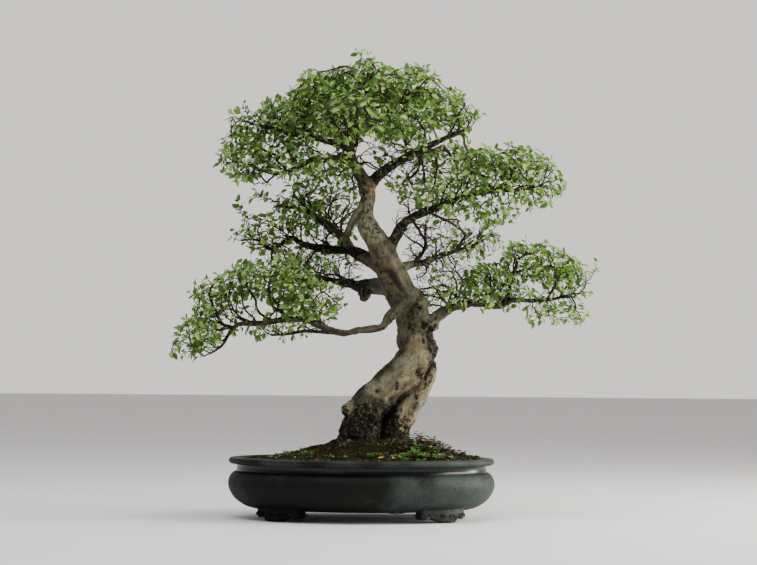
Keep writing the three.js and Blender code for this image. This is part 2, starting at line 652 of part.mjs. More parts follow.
// A spray on its twig's end, turned and tilted by chance round the twig's heading.
function sprayOn(start, heading, looseness, random) {
  const leaning = heading.clone().add(randomSpread(random, 0.05 + looseness)).normalize();
  const facing = new THREE.Vector3(start.x * 0.002, -0.85 + start.y * 0.004, 0.7);
  facing.add(randomSpread(random, 0.35 + 2 * looseness));
  facing.addScaledVector(leaning, -facing.dot(leaning)).normalize();
  const across = facing.clone().cross(leaning);
  const root = start.clone().addScaledVector(heading, CLEARANCE + 0.1);
  const place = new THREE.Matrix4().makeBasis(leaning, across, facing).setPosition(root);
  return solidOf(sprayBlade(random).applyMatrix4(place));
}

function isClear(solid, others) {
  return others.every((other) => solid.minGap(other, 1) > SPRAY_GAP);
}

// Whether a twig through these stations bends too sharply for its own thickness.
function isKinked(stations) {
  const places = stations.map(([x, y, z]) => new THREE.Vector3(x, y, z));
  const stretches = places.slice(1).map((place, i) => place.clone().sub(places[i]));
  const sharpest = THREE.MathUtils.degToRad(SHARPEST_BEND);
  return stretches.slice(1).some((stretch, i) => stretch.angleTo(stretches[i]) > sharpest);
}

// Grows a twig and the spray on its end, moved by chance until both are clear of what grew before.
function growSpray({ start, heading }, points, base, twigs, sprays, random) {
  for (let i = 0; i < TRIES; i += 1) {
    const target = start.clone().add(randomSpread(random, i * TRY_FURTHER));
    const stations = twigStations(points, target, heading, random);
    const twig = limb(stations, 3, 3);
    if (!isKinked(stations) && isClear(twig, sprays)) {
      const spray = sprayOn(target, heading, i * TRY_LOOSER, random);
      if (spray.volume() > 0 && isClear(spray, [base, twig, ...twigs, ...sprays])) {
        for (const [x, y, z, radius] of stations.slice(1, 3)) {
          points.push({ at: new THREE.Vector3(x, y, z), radius });
        }
        twigs.push(twig);
        sprays.push(spray);
        return;
      }
    }
  }
}

function makeTree() {
  const random = seededRandom(SEED);
  const points = limbPoints();
  const limbs = Object.values(LIMBS).map((stations) => (
    limb(stations, stations[0][3] > 9 ? 6 : 5, stations.length - 1)
  ));
  const base = Manifold.union([makeFoot(0), ...limbs, ...BURLS.map(burl)]);
  const near = ({ start }) => Math.min(...points.map(({ at }) => at.distanceTo(start)));
  const starts = sprayStarts(random).map((entry) => ({ ...entry, distance: near(entry) }));
  starts.sort((a, b) => a.distance - b.distance);
  const twigs = [];
  const sprays = [];
  for (const entry of starts) {
    growSpray(entry, points, base, twigs, sprays, random);
  }
  const wood = biggestBody(Manifold.union([base, ...twigs])).simplify(0.05);
  return { wood, sprays };
}

const object = new THREE.Group();
const { wood, sprays } = makeTree();
object.add(meshOf('pot', makePot(), CLAY));
object.add(meshOf('drain_screen_left', makeScreen(-DRAIN_HOLE.x), MESH));
object.add(meshOf('drain_screen_right', makeScreen(DRAIN_HOLE.x), MESH));
object.add(meshOf('tie_wire', makeWire(0), WIRE));
object.add(meshOf('soil', makeSoil(makeFoot(CLEARANCE)), EARTH));
object.add(meshOf('wood', wood, BARK));
sprays.forEach((spray, index) => {
  object.add(meshOf(`spray_${String(index + 1).padStart(2, '0')}`, spray, LEAF));
});

// The origin goes under the middle of the whole object's box, to the nearest millimetre.
const middle = new THREE.Box3().setFromObject(object).getCenter(new THREE.Vector3());
object.position.set(-Math.round(middle.x), -Math.round(middle.y), 0);

export default object;
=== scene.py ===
"""A Chinese elm bonsai in an oval clay pot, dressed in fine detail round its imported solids."""

import json
import math
import random
from itertools import chain

import bmesh
import bpy
import numpy as np
from mathutils import Matrix, Vector, kdtree, noise

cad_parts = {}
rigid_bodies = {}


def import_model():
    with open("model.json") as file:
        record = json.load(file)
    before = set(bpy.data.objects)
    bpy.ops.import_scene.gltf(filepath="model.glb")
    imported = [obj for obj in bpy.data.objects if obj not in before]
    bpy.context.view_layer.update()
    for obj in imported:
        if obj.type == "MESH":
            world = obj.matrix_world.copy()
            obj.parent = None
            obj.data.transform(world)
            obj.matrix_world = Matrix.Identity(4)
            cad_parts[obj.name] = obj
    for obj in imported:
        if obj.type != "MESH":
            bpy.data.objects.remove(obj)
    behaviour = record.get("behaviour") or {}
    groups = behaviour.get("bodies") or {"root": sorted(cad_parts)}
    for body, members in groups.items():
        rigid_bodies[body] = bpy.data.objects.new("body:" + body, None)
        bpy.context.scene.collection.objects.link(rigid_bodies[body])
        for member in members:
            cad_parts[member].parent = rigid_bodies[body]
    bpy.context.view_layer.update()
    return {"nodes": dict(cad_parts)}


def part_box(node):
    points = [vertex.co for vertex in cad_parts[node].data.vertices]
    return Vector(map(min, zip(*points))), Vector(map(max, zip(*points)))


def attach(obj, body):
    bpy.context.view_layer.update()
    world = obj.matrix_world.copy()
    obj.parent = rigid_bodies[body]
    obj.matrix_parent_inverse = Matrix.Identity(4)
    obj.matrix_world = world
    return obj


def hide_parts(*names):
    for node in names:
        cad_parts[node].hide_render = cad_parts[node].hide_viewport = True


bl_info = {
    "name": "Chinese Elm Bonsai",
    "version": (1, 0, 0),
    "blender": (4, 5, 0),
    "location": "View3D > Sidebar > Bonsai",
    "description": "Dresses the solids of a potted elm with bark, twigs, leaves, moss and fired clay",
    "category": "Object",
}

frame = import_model()

MM = 0.001
pot_low, pot_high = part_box("pot")
POT_MIDDLE = Vector(((pot_low.x + pot_high.x) / 2, (pot_low.y + pot_high.y) / 2, 0))

# Pot, in millimetres from the middle of its base. Its oval reaches one radius to the front and the back,
# and the stretch more to each side. A curve is a part of its section as oval radius and height.
OVAL_STRETCH = 74
OVAL_SIDES = 176
FLOOR_TOP = 32
FLAT_RADIUS = 90
BASE_CURVE = [
    (141, 20), (155, 24), (169, 32), (180, 42), (188, 55), (191.3, 68), (189.2, 80), (183.4, 89),
    (177, 93),
]
NECK_CURVE = [(175.4, 93.8), (174.2, 99.5), (174.8, 106)]
LIP_CURVE = [
    (176.6, 107.2), (184.4, 107.4), (188.6, 109.4), (190.3, 113.2), (189.4, 117.2), (186, 119.6),
    (180, 120.2),
]
INSIDE_CURVE = [
    (170, 119.8), (165, 116.5), (163.2, 108), (163.4, 98), (171, 78), (171, 60), (159, 42), (140, 32),
]
# Holes in the floor as x, y and radius, two to drain and two for wire, and how low and high they are cut
HOLES = [(-110, 0, 15), (110, 0, 15), (-38, -6, 3), (38, -6, 3)]
HOLE_ENDS = (5, 45)
# Where the pale bloom, with painted light from the right, starts and is full towards the right end, and the
# height over which all has some
BLOOM_AND_LIGHT_SIDE = (30, 260)
BLOOM_LIP = 100

# Feet, at an angle in degrees from the pot's long way. A spiral of their carving is given by the side and
# height of its middle, its reach, how far it winds and which way.
FOOT_HEIGHT = 20
FOOT_ANGLE = 46
FOOT_OUT = 150
FOOT_DEPTH = 28
FOOT_HALF = 49
FOOT_SCROLL = 6.5
FOOT_SPIRALS = [
    (-41.5, 14, 6.2, 10, -1), (41.5, 14, 6.2, 10, 1), (-15, 11, 8, 8, -1), (5, 12.5, 6, 8, 1),
]
SPIRAL_POINTS = 28

# Tie wire, its left half as x and height, mirrored about its middle
WIRE_HALF = [(38, 70), (38, 44), (38, 26), (38.5, 19), (47, 13.5), (70, 9.5)]
WIRE_Y = -6
WIRE_RADIUS = 1.0

# Soil
SOIL_EDGE = 162
SOIL_EDGE_HEIGHT = 112
SOIL_RINGS = 64
SOIL_SIDES = 220
# The mound's side and underside inside the pot, as oval radius and height
SOIL_UNDERSIDE = [(162.4, 100), (170, 79), (170, 60), (158, 43), (139, 33), (60, 33)]
MOUND_HEIGHT = 46
MOUND_CENTRE = 25
MOUND_REACH_X = 165
MOUND_REACH_Y = 105
# How far round the mound's middle the moss grows thicker, and how many dead leaves lie about
MOSS_NEAR = 95
LITTER_COUNT = 420

# Wood, each limb as stations of x, y, z and radius
TRUNK = [
    (-2, 2, 96, 46), (-2, 2, 134, 46), (1, 0, 180, 41), (15, -2, 221, 38), (52, -4, 263, 34),
    (90, -1, 296, 35), (110, 3, 331, 37), (105, 6, 365, 35.5), (101, 6, 399, 34), (88, 4, 429, 31),
    (71, 2, 457, 30), (56, 0, 491, 28), (38, -4, 531, 25), (19, -8, 566, 22), (7, -10, 590, 18.5),
    (4, -12, 616, 14.6), (9, -14, 638, 14.7), (5, -16, 660, 15.5), (-8, -18, 686, 12.3),
    (-20, -20, 709, 10), (-28, -20, 739, 8.4), (-14, -18, 766, 7.2), (3, -14, 793, 6),
    (3, -10, 824, 5), (3, -8, 862, 3.6), (-2, -6, 890, 2.4),
]
SECOND_STEM = [
    (60, 4, 96, 36), (62, 4, 136, 33), (70, 4, 178, 28), (88, 4, 216, 25), (110, 4, 243, 20.5),
    (127, 5, 270, 17), (134, 6, 298, 16), (130, 6, 325, 15),
]
ROOTS = [
    [(-10, 4, 150, 24), (-52, 2, 142, 15), (-88, -8, 128, 9), (-122, -14, 112, 5)],
    [(-8, -12, 150, 22), (-32, -42, 138, 14), (-52, -68, 120, 9), (-66, -86, 104, 5)],
    [(10, -14, 146, 20), (16, -52, 134, 13), (12, -82, 114, 8), (14, -102, 98, 4)],
    [(60, -14, 146, 20), (78, -48, 132, 13), (96, -74, 112, 8), (108, -90, 98, 4)],
    [(66, 0, 148, 20), (108, 2, 138, 13), (146, -8, 122, 8), (176, -14, 106, 4)],
    [(60, 14, 146, 20), (92, 46, 132, 12), (116, 70, 112, 8), (128, 84, 98, 4)],
    [(-8, 16, 146, 20), (-28, 50, 132, 13), (-44, 78, 112, 8), (-52, 92, 98, 4)],
]
LIMBS = {
    "right_upper": [
        (44, 0, 520, 15), (63, -10, 558, 12), (77, -20, 582, 10), (99, -30, 599, 9),
        (128, -38, 611, 8), (168, -45, 626, 6.6), (211, -50, 642, 5.4), (260, -50, 650, 4.2),
        (310, -45, 653, 3.2), (350, -40, 662, 2.2),
    ],
    "right_lower": [
        (112, 4, 372, 20), (143, 0, 397, 14), (164, -8, 413, 10.5), (190, -15, 423, 8.4),
        (229, -25, 429, 6.8), (271, -30, 423, 5.8), (300, -30, 435, 5), (338, -28, 434, 4),
        (378, -25, 438, 3.2), (418, -20, 449, 2.2),
    ],
    "right_back": [
        (66, 6, 494, 13), (99, 60, 511, 8), (128, 95, 518, 6.2), (160, 120, 532, 5),
        (196, 140, 546, 3.7), (232, 150, 560, 2.3),
    ],
    "left_back": [
        (40, 4, 500, 18), (-3, 40, 525, 14), (-28, 60, 539, 11.4), (-56, 75, 540, 9.4),
        (-94, 85, 544, 7.8), (-124, 85, 552, 6.1), (-149, 80, 564, 4.9), (-170, 75, 550, 4.1),
        (-191, 70, 540, 3.6), (-218, 65, 558, 2.8), (-250, 60, 557, 2),
    ],
    "left_back_high": [
        (-23, 55, 538, 10), (-40, 60, 563, 9.6), (-61, 62, 575, 8.2), (-81, 60, 595, 6.9),
        (-106, 55, 611, 5.3), (-134, 50, 622, 3.8), (-160, 45, 624, 2.4),
    ],
    "left_low_back": [
        (58, 8, 462, 20), (22, 60, 466, 17), (-7, 95, 467, 13), (-38, 125, 475, 8.7),
        (-81, 150, 482, 6.7), (-123, 165, 482, 5), (-157, 170, 485, 3),
    ],
    "left_front": [
        (106, -8, 440, 20), (94, -32, 430, 14), (70, -38, 415, 12), (52, -44, 397, 10.4),
        (40, -50, 381, 9.2), (19, -55, 375, 8.2), (-9, -60, 371, 7.6), (-38, -65, 366, 7.2),
        (-75, -70, 378, 6.6), (-112, -75, 391, 6.2), (-146, -80, 392, 5.9), (-184, -85, 386, 5.6),
        (-219, -88, 382, 5), (-243, -90, 380, 4.4), (-260, -90, 362, 3.5), (-273, -90, 340, 2.7),
        (-295, -88, 324, 2),
    ],
    "left_front_low": [
        (-38, -62, 366, 4.4), (-76, -50, 368, 3.7), (-114, -40, 370, 3.4), (-149, -35, 364, 2.8),
        (-181, -30, 362, 2.1),
    ],
    "hanging_root": [(4, -12, 622, 12), (-20, -8, 596, 8.8), (-33, 2, 566, 7.2), (-40, 14, 544, 6)],
    "crown_right": [
        (6, -16, 656, 13), (24, -22, 677, 11.5), (48, -28, 697, 10.3), (78, -32, 715, 9),
        (112, -32, 733, 7.8), (146, -28, 750, 6), (176, -22, 765, 4.4), (202, -15, 776, 2.8),
    ],
    "crown_left": [
        (-18, -20, 703, 9.5), (-48, -26, 716, 7.5), (-84, -30, 712, 6.3), (-117, -30, 705, 5.2),
        (-147, -28, 691, 4), (-177, -25, 682, 2.6),
    ],
    "crown_left_high": [
        (-28, -20, 735, 8), (-58, -20, 747, 6.4), (-100, -16, 758, 5.6), (-147, -10, 766, 4.6),
        (-189, -5, 780, 3.6), (-228, 0, 787, 2.4),
    ],
    "crown_front": [(-27, -20, 731, 7.8), (-28, -60, 744, 5.9), (-23, -100, 759, 4.3), (-27, -133, 773, 2.8)],
    "crown_back": [
        (-14, -12, 697, 10), (-25, 30, 723, 7.7), (-26, 75, 756, 6.1), (-22, 120, 793, 4.5),
        (-19, 152, 820, 2.9),
    ],
    "crown_top_right": [(3, -14, 789, 5.8), (31, -10, 802, 4.8), (63, -5, 821, 4), (95, 0, 842, 3.1)],
}
# Burls, each as its middle and half sizes
BURLS = [
    ((-22, -6, 216), (18, 19, 16)),
    ((20, -12, 257), (18, 18, 15)),
    ((40, -32, 232), (15, 10, 11)),
    ((112, -18, 428), (22, 20, 16)),
    ((134, 0, 388), (19, 18, 16)),
    ((4, -24, 652), (13, 10, 18)),
    ((4, 78, 452), (13, 12, 18)),
]
# Hollows in the bark: place, radius and depth
HOLLOWS = [
    ((30, -36, 252), 7, 6), ((-30, -22, 214), 6, 2), ((112, -38, 420), 5.5, 4), ((128, -34, 430), 4.5, 3),
    ((56, -34, 236), 5, 3), ((10, -26, 612), 4, 3), ((132, -18, 396), 4.5, 3),
]
# The middle of an old pruning scar and the radius of its raised rim
SCAR = (119, -28, 308)
SCAR_RADIUS = 8
# The dark stripe on the front of the upper trunk: x and height of its middle, the way across it, how far
# it fades on each side, and the heights between which it comes in at its foot and goes out at its top
STRIPE_MIDDLE = (69, 468)
STRIPE_ACROSS = (0.809, 0.588)
STRIPE_FADE = (13, 3)
STRIPE_FOOT = (434, 448)
STRIPE_TOP = (508, 488)
# The cleft between the trunk's lower stations and the second stem, and how wide it is
CLEFT_STATIONS = 9
CLEFT_HEIGHTS = (130, 322)
CLEFT_WIDTH = 6
# How far the bark rises or sinks
BROAD_SWELL = 1.7
FINE_SWELL = 0.55
KNOB_SWELL = 4.2
SCAR_SWELL = 1.3
CLEFT_DEPTH = 4.0
PIT_DEPTH = 1.3
GROOVE_DEPTH = 1.5
# How far the ridges turn round their limb in a millimetre, and how close the grain's stations lie
RIDGE_TWIST = 0.022
GRAIN_SPACING = 4.0
# Where the second stem's own look starts and is full, and how high it reaches
STEM_SIDE = (58, 76)
STEM_TOP = 305
# How high the dark crust climbs on the trunk and on the second stem
DAMP_HEIGHT = 219
STEM_DAMP_HEIGHT = 180
# Limbs in dark crusty bark, and limbs with ridges that wind round them
DARK_LIMBS = ("left_back", "left_low_back", "right_upper", "right_back", "crown_right", "crown_back")
TWISTED = ("left_front", "hanging_root")
# Numbers of the ridged limbs among the trunk, the second stem, the roots and the limbs in turn
RIDGED_LIMBS = [2 + len(ROOTS) + list(LIMBS).index(name) for name in TWISTED]
# The least radius of a limb's thick stretch, how close rings lie where it is thick and where it is thin,
# and how far its knots turn from ring to ring
THICK_LIMB = 6.4
THICK_SPACING = 3
THIN_SPACING = 4
LIMB_TWIST = 0.012
# Numbers of the trunk's stations where its thick stretch ends, its thin stretch starts and twigs start
TRUNK_THICK = 22
TRUNK_THIN = 20
TRUNK_TWIGS = 18
# Where the bark is smooth, pale, crusty, knobby, rusty or pitted, as soft spots of x, y, z, radius and
# strength, and how wide a spot's edge fades, as a share of its radius
SPOT_BLUR = 0.35
# The weak smooth spots at x 40 to 74 on the left of the trunk's front, 372 to 490 high, keep its bark darker
# there: painted shade on the side away from the light.
SMOOTH_BARK = [
    (106, -34, 318, 26, 1), (84, -34, 296, 27, 1), (60, -34, 272, 25, 1), (44, -34, 254, 18, 1),
    (104, -32, 334, 18, 0.9), (74, -20, 372, 16, 0.4), (74, -20, 402, 15, 0.3), (-26, -14, 216, 18, 1),
    (22, -26, 258, 17, 1), (60, -24, 446, 24, 0.12), (40, -20, 490, 24, 0.12), (28, -20, 530, 22, 0.3),
    (99, -20, 446, 17, 0.52), (86, -16, 478, 17, 0.48), (70, -16, 512, 17, 0.44),
    (88, 36, 300, 50, 0.7), (100, 34, 380, 44, 0.6), (60, 30, 480, 40, 0.5),
]
PALE_BARK = [
    (110, -26, 350, 17, 0.8), (118, -20, 424, 26, 0.7), (136, -8, 390, 22, 0.7), (10, -20, 604, 30, 1),
    (20, -22, 570, 26, 1), (104, -20, 250, 26, 0.9), (118, -18, 280, 20, 0.8), (-22, 0, 590, 22, 0.5),
    (14, -26, 656, 13, 0.8),
]
CRUSTY_BARK = [
    (84, -34, 278, 22, 0.3), (98, -34, 288, 14, 0.3), (70, -34, 262, 12, 0.2), (112, -36, 300, 9, 0.2),
    (134, -14, 320, 22, 0.24), (134, -10, 350, 24, 0.28), (132, -10, 378, 20, 0.27),
    (140, 10, 300, 18, 0.3), (104, -34, 412, 16, 0.3), (124, -20, 428, 20, 0.1),
    (128, -12, 284, 20, 0.2), (40, 30, 240, 50, 0.3), (0, 30, 600, 40, 0.3), (80, -24, 382, 12, 0.1),
    (38, -28, 512, 14, 0.12),
]
KNOBBY_BARK = [
    (116, -16, 428, 30, 1), (134, -4, 392, 26, 1), (136, -6, 340, 26, 0.8), (30, -20, 170, 50, 1),
    (-18, -24, 156, 46, 1), (4, -20, 650, 20, 0.6), (128, -10, 310, 24, 0.6), (70, 40, 400, 60, 0.4),
]
RUSTY_BARK = [
    (-5, -24, 652, 12, 1), (6, -24, 645, 16, 0.5), (8, -22, 626, 12, 0.3), (34, -24, 496, 24, 0.4),
    (32, -40, 238, 8, 0.45), (104, -34, 340, 16, 0.4), (110, -28, 300, 20, 0.3),
    (118, -16, 258, 18, 0.45), (18, -26, 556, 20, 0.25),
]
PITTED_BARK = [
    (10, -22, 604, 24, 1), (22, -22, 574, 22, 0.9), (30, -20, 548, 16, 0.5), (118, -24, 424, 20, 0.7),
]

# Foliage clumps by pad, each as its middle, half sizes and how leafy it is. A value over 1 crowds
# the leaves, and one under BARE_TWIGS gives bare twigs, BARE_CROWD times as many.
PADS = {
    "crown": [
        (1, -5, 866, 68, 80, 44, 1), (-79, -15, 851, 64, 80, 44, 1), (-157, -8, 794, 64, 80, 44, 1),
        (-238, 0, 725, 54, 70, 58, 1), (-151, -30, 711, 67, 60, 34, 0.9),
        (91, 8, 866, 56, 70, 38, 0.9), (166, 0, 825, 48, 60, 38, 1), (77, -55, 780, 67, 50, 39, 0.7),
        (-23, -110, 785, 66, 55, 50, 0.42), (-67, -60, 698, 55, 50, 28, 0.75),
        (-89, 110, 828, 91, 60, 62, 1), (73, 105, 829, 90, 60, 58, 1), (-16, -5, 886, 36, 34, 24, 1),
        (-58, -8, 880, 26, 34, 26, 1), (4, -5, 908, 9, 12, 22, 0.7), (104, 6, 892, 20, 24, 18, 1),
        (80, -20, 735, 90, 45, 30, 0.2), (-60, 10, 670, 80, 50, 34, 0.25),
        (184, -12, 786, 36, 45, 28, 1), (88, -62, 752, 44, 24, 22, 0.8),
    ],
    "right_upper": [
        (314, -40, 704, 62, 60, 40, 1), (238, -50, 694, 67, 65, 46, 1), (161, -68, 638, 60, 44, 32, 1),
        (345, -35, 649, 42, 50, 34, 0.8), (255, -48, 609, 59, 45, 26, 0.7),
        (104, 70, 680, 65, 55, 49, 0.25), (180, 80, 726, 65, 55, 38, 0.4),
        (380, -36, 662, 20, 30, 24, 1), (130, 60, 600, 75, 50, 50, 0.06),
        (216, -88, 640, 46, 24, 26, 1), (284, -80, 652, 48, 26, 24, 0.9),
    ],
    "right_lower": [
        (390, -22, 490, 50, 55, 46, 1.15), (334, -5, 515, 60, 60, 42, 0.8),
        (256, -30, 469, 61, 60, 42, 1.1), (374, -25, 414, 56, 45, 26, 0.75),
        (150, 120, 534, 74, 55, 45, 0.06), (232, 140, 560, 62, 50, 33, 0.25),
        (424, -22, 474, 24, 34, 38, 1), (416, -25, 410, 26, 30, 24, 0.9),
        (165, 20, 480, 60, 45, 42, 0.1), (196, -58, 444, 40, 30, 24, 0.8),
        (276, -62, 438, 46, 30, 26, 0.9), (128, 40, 444, 42, 40, 32, 0.12),
        (182, -30, 432, 34, 30, 20, 0.9),
    ],
    "left_back": [
        (-194, 62, 570, 56, 55, 41, 0.5), (-128, 48, 614, 59, 55, 43, 0.4),
        (-97, 30, 658, 56, 50, 28, 0.55), (-67, 85, 594, 55, 50, 49, 0.2),
        (-120, 150, 505, 62, 55, 42, 0.3), (-55, 70, 500, 60, 45, 42, 0.08),
        (-150, 70, 520, 60, 45, 36, 0.2), (-40, 60, 640, 50, 40, 30, 0.2),
    ],
    "left_front": [
        (-312, -92, 364, 45, 50, 43, 1.2), (-289, -80, 436, 49, 50, 41, 1.3),
        (-225, -70, 469, 61, 55, 37, 1.35), (-151, -70, 462, 61, 55, 45, 1.3),
        (-118, -90, 410, 59, 50, 25, 1.3), (-345, -92, 340, 34, 34, 26, 0.9),
        (-160, -45, 368, 70, 40, 18, 0.5), (-240, -88, 392, 55, 35, 28, 0.5),
        (-75, -60, 425, 40, 40, 40, 0.6),
    ],
}
BARE_TWIGS = 0.45
BARE_CROWD = 2.5


def colour(red, green, blue):
    """A screen colour of 0 to 255 as the linear colour that shaders take."""
    shares = (red / 255, green / 255, blue / 255)
    return tuple(s / 12.92 if s <= 0.04045 else ((s + 0.055) / 1.055) ** 2.4 for s in shares)


class PotSettings(bpy.types.PropertyGroup):
    """How the pot looks"""

    clay: bpy.props.FloatVectorProperty(
        name="Clay", description="Colour of the fired clay", subtype="COLOR", default=colour(18, 18, 15))
    # The bloom colour is also painted light: the pot's right end is paler where the light from the right
    # falls.
    bloom: bpy.props.FloatVectorProperty(
        name="Bloom", description="Paler bloom where the clay is worn", subtype="COLOR",
        default=colour(63, 72, 68))
    grain: bpy.props.FloatProperty(
        name="Grain", description="Depth of the clay's fine grain", default=0.0004, unit="LENGTH",
        precision=5)


class SoilSettings(bpy.types.PropertyGroup):
    """How the soil looks and how much lies and grows on it"""

    earth: bpy.props.FloatVectorProperty(
        name="Earth", description="Colour of the damp soil", subtype="COLOR", default=colour(25, 20, 13))
    moss: bpy.props.FloatVectorProperty(
        name="Moss", description="Colour of the moss", subtype="COLOR", default=colour(40, 48, 22))
    grit_size: bpy.props.FloatProperty(
        name="Grit size", description="Usual width of a grain of grit", default=0.0032, unit="LENGTH",
        precision=4)
    grit_count: bpy.props.IntProperty(
        name="Grit count", description="Grains of grit on the surface", default=2600, min=0)
    tuft_count: bpy.props.IntProperty(
        name="Moss tufts", description="Small tufts of moss on the mound", default=5200, min=0)


class WoodSettings(bpy.types.PropertyGroup):
    """How fine and how dark the bark is"""

    voxel: bpy.props.FloatProperty(
        name="Fineness", description="Width of the cells that the trunk is joined by", default=0.00212,
        unit="LENGTH", precision=5)
    plate_depth: bpy.props.FloatProperty(
        name="Plate depth", description="Depth of the cracks between bark plates", default=0.0013,
        unit="LENGTH", precision=4)
    pale: bpy.props.FloatVectorProperty(
        name="Pale bark", description="Fresh pale bark", subtype="COLOR", default=colour(128, 125, 99))
    dark: bpy.props.FloatVectorProperty(
        name="Dark bark", description="Old dark bark", subtype="COLOR", default=colour(35, 30, 21))


class FoliageSettings(bpy.types.PropertyGroup):
    """How the twigs and leaves grow"""

    seed: bpy.props.IntProperty(name="Seed", description="Start of the random draws", default=7)
    leaf_length: bpy.props.FloatProperty(
        name="Leaf length", description="Usual length of a leaf", default=0.0134, unit="LENGTH",
        precision=4)
    leaf_share: bpy.props.FloatProperty(
        name="Leaf width", description="Width of a leaf as a share of its length", default=0.6,
        subtype="FACTOR")
    spacing: bpy.props.FloatProperty(
        name="Spacing", description="Room that each leaf bud takes", default=0.0113, unit="LENGTH",
        precision=4)
    step: bpy.props.FloatProperty(
        name="Twig step", description="Length between two nodes of a twig", default=0.0066, unit="LENGTH",
        precision=4)


class StageSettings(bpy.types.PropertyGroup):
    """Where the camera stands and how pale the floor is"""

    lens: bpy.props.FloatProperty(
        name="Lens", description="Focal length of the camera", default=87.98, subtype="DISTANCE_CAMERA")
    distance: bpy.props.FloatProperty(
        name="Distance", description="From the camera to the pot's middle", default=3.7, unit="LENGTH")
    height: bpy.props.FloatProperty(
        name="Height", description="Height of the camera over the floor", default=0.2725, unit="LENGTH")
    pitch: bpy.props.FloatProperty(
        name="Pitch", description="How far the camera looks up", default=math.radians(3.05), subtype="ANGLE")
    roll: bpy.props.FloatProperty(
        name="Roll", description="How far the camera leans", default=math.radians(0.45), subtype="ANGLE")
    floor: bpy.props.FloatVectorProperty(
        name="Floor", description="Colour of the plain floor", subtype="COLOR", default=colour(226, 225, 226))


# Meshes

class Pile:
    """Corners, faces and per-corner values of many shapes, in millimetres, built as one mesh."""

    def __init__(self):
        self.corners = []
        self.faces = []
        self.values = {}
        self.count = 0

    def add(self, corners, faces, **values):
        """Adds a shape. faces is a list of arrays of corner numbers, each with its own number of sides."""
        self.corners.append(corners)
        self.faces.extend((np.asarray(part) + self.count).tolist() for part in faces)
        for key, value in values.items():
            self.values.setdefault(key, []).append(np.broadcast_to(value, len(corners)))
        self.count += len(corners)

    def build(self, name, material, smooth=True):
        """Makes the object."""
        mesh = bpy.data.meshes.new(name)
        corners = np.concatenate(self.corners) * MM + np.array(POT_MIDDLE)
        mesh.from_pydata(corners.tolist(), [], list(chain.from_iterable(self.faces)))
        set_values(mesh, **{key: np.concatenate(parts) for key, parts in self.values.items()})
        mesh.polygons.foreach_set("use_smooth", [smooth] * len(mesh.polygons))
        mesh.materials.append(material)
        mesh.update()
        piece = bpy.data.objects.new(name, mesh)
        bpy.context.scene.collection.objects.link(piece)
        return piece


def set_values(mesh, **values):
    """Stores values at a mesh's corners."""
    for key, value in values.items():
        attribute = mesh.attributes.get(key) or mesh.attributes.new(key, "FLOAT", "POINT")
        attribute.data.foreach_set("value", np.asarray(value, np.float32))


def read_corners(mesh, what="co"):
    """The place or the normal of each of a mesh's corners, in rows."""
    values = np.zeros(len(mesh.vertices) * 3)
    mesh.vertices.foreach_get(what, values)
    return values.reshape(-1, 3)


def tree_places(mesh):
    """Where a mesh's corners lie, in millimetres from the pot's middle."""
    return (read_corners(mesh) - np.array(POT_MIDDLE)) / MM


def ring_walls(rings, sides):
    """Four-sided faces between rings of corners, one ring after the other."""
    side = np.arange(sides)
    after = (side + 1) % sides
    first = np.arange(rings - 1)[:, None] * sides
    walls = np.stack([first + side, first + after, first + after + sides, first + side + sides], axis=-1)
    return walls.reshape(-1, 4)


def ring_caps(rings, sides):
    """One face over the first ring of corners and one over the last."""
    side = np.arange(sides)
    return [side[::-1][None], (side + (rings - 1) * sides)[None]]


def settle(piece, slot, *nodes):
    """Fixes a piece to the tree and hides the plain solids that it stands for. slot, the name of its finish,
    is not used.
    """
    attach(piece, "root")
    if nodes:
        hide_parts(*nodes)


def smooth_line(rows, steps):
    """Values along a smooth line through the rows, steps + 1 of them."""
    rows = np.array(rows, float)
    ends = 2 * rows[0] - rows[1], 2 * rows[-1] - rows[-2]
    padded = np.vstack([ends[0], rows, ends[1]])
    spot = np.linspace(0, len(rows) - 1, steps + 1)
    row = np.minimum(spot.astype(int), len(rows) - 2)
    share = (spot - row)[:, None]
    before, start, end, after = (padded[row + k] for k in range(4))
    curve = 2 * start + (end - before) * share
    curve += (2 * before - 5 * start + 4 * end - after) * share ** 2
    curve += (3 * start - before - 3 * end + after) * share ** 3
    return curve / 2


def lengthwise(centres):
    """Unit vectors aside and up along a line, turned as little as possible."""
    ahead = np.gradient(centres, axis=0)
    ahead /= np.linalg.norm(ahead, axis=1)[:, None]
    aside = np.cross((0, 1, 0), ahead[0])
    if np.linalg.norm(aside) < 0.2:
        aside = np.array((1.0, 0, 0))
    asides = []
    for forward in ahead:
        aside = aside - forward * aside.dot(forward)
        aside = aside / np.linalg.norm(aside)
        asides.append(aside)
    return np.array(asides), np.cross(ahead, asides)


def tube(centres, radii, sides, swell=1.0):
    """Corners and faces of a closed tube. swell multiplies the radius at each ring and side."""
    aside, up = lengthwise(centres)
    turns = np.arange(sides) * 2 * math.pi / sides
    reach = radii[:, None] * swell * np.ones(sides)
    corners = centres[:, None] + aside[:, None] * (reach * np.cos(turns))[..., None]
    corners = corners + up[:, None] * (reach * np.sin(turns))[..., None]
    return corners.reshape(-1, 3), [ring_walls(len(centres), sides), *ring_caps(len(centres), sides)]


def knotty(count, sides, rate, depth, seed, twist):
    """How much each ring and side of a limb swells, by smooth noise that winds along it."""
    turns = np.arange(sides) * 2 * math.pi / sides
    rows = []
    for ring in range(count):
        row = []
        for turn in turns + ring * twist:
            spot = Vector((math.cos(turn) * 1.6, math.sin(turn) * 1.6, ring * rate)) + Vector((seed, 0, 0))
            row.append(1 + depth * noise.fractal(spot, 1.0, 2.0, 3))
        rows.append(row)
    return np.array(rows)


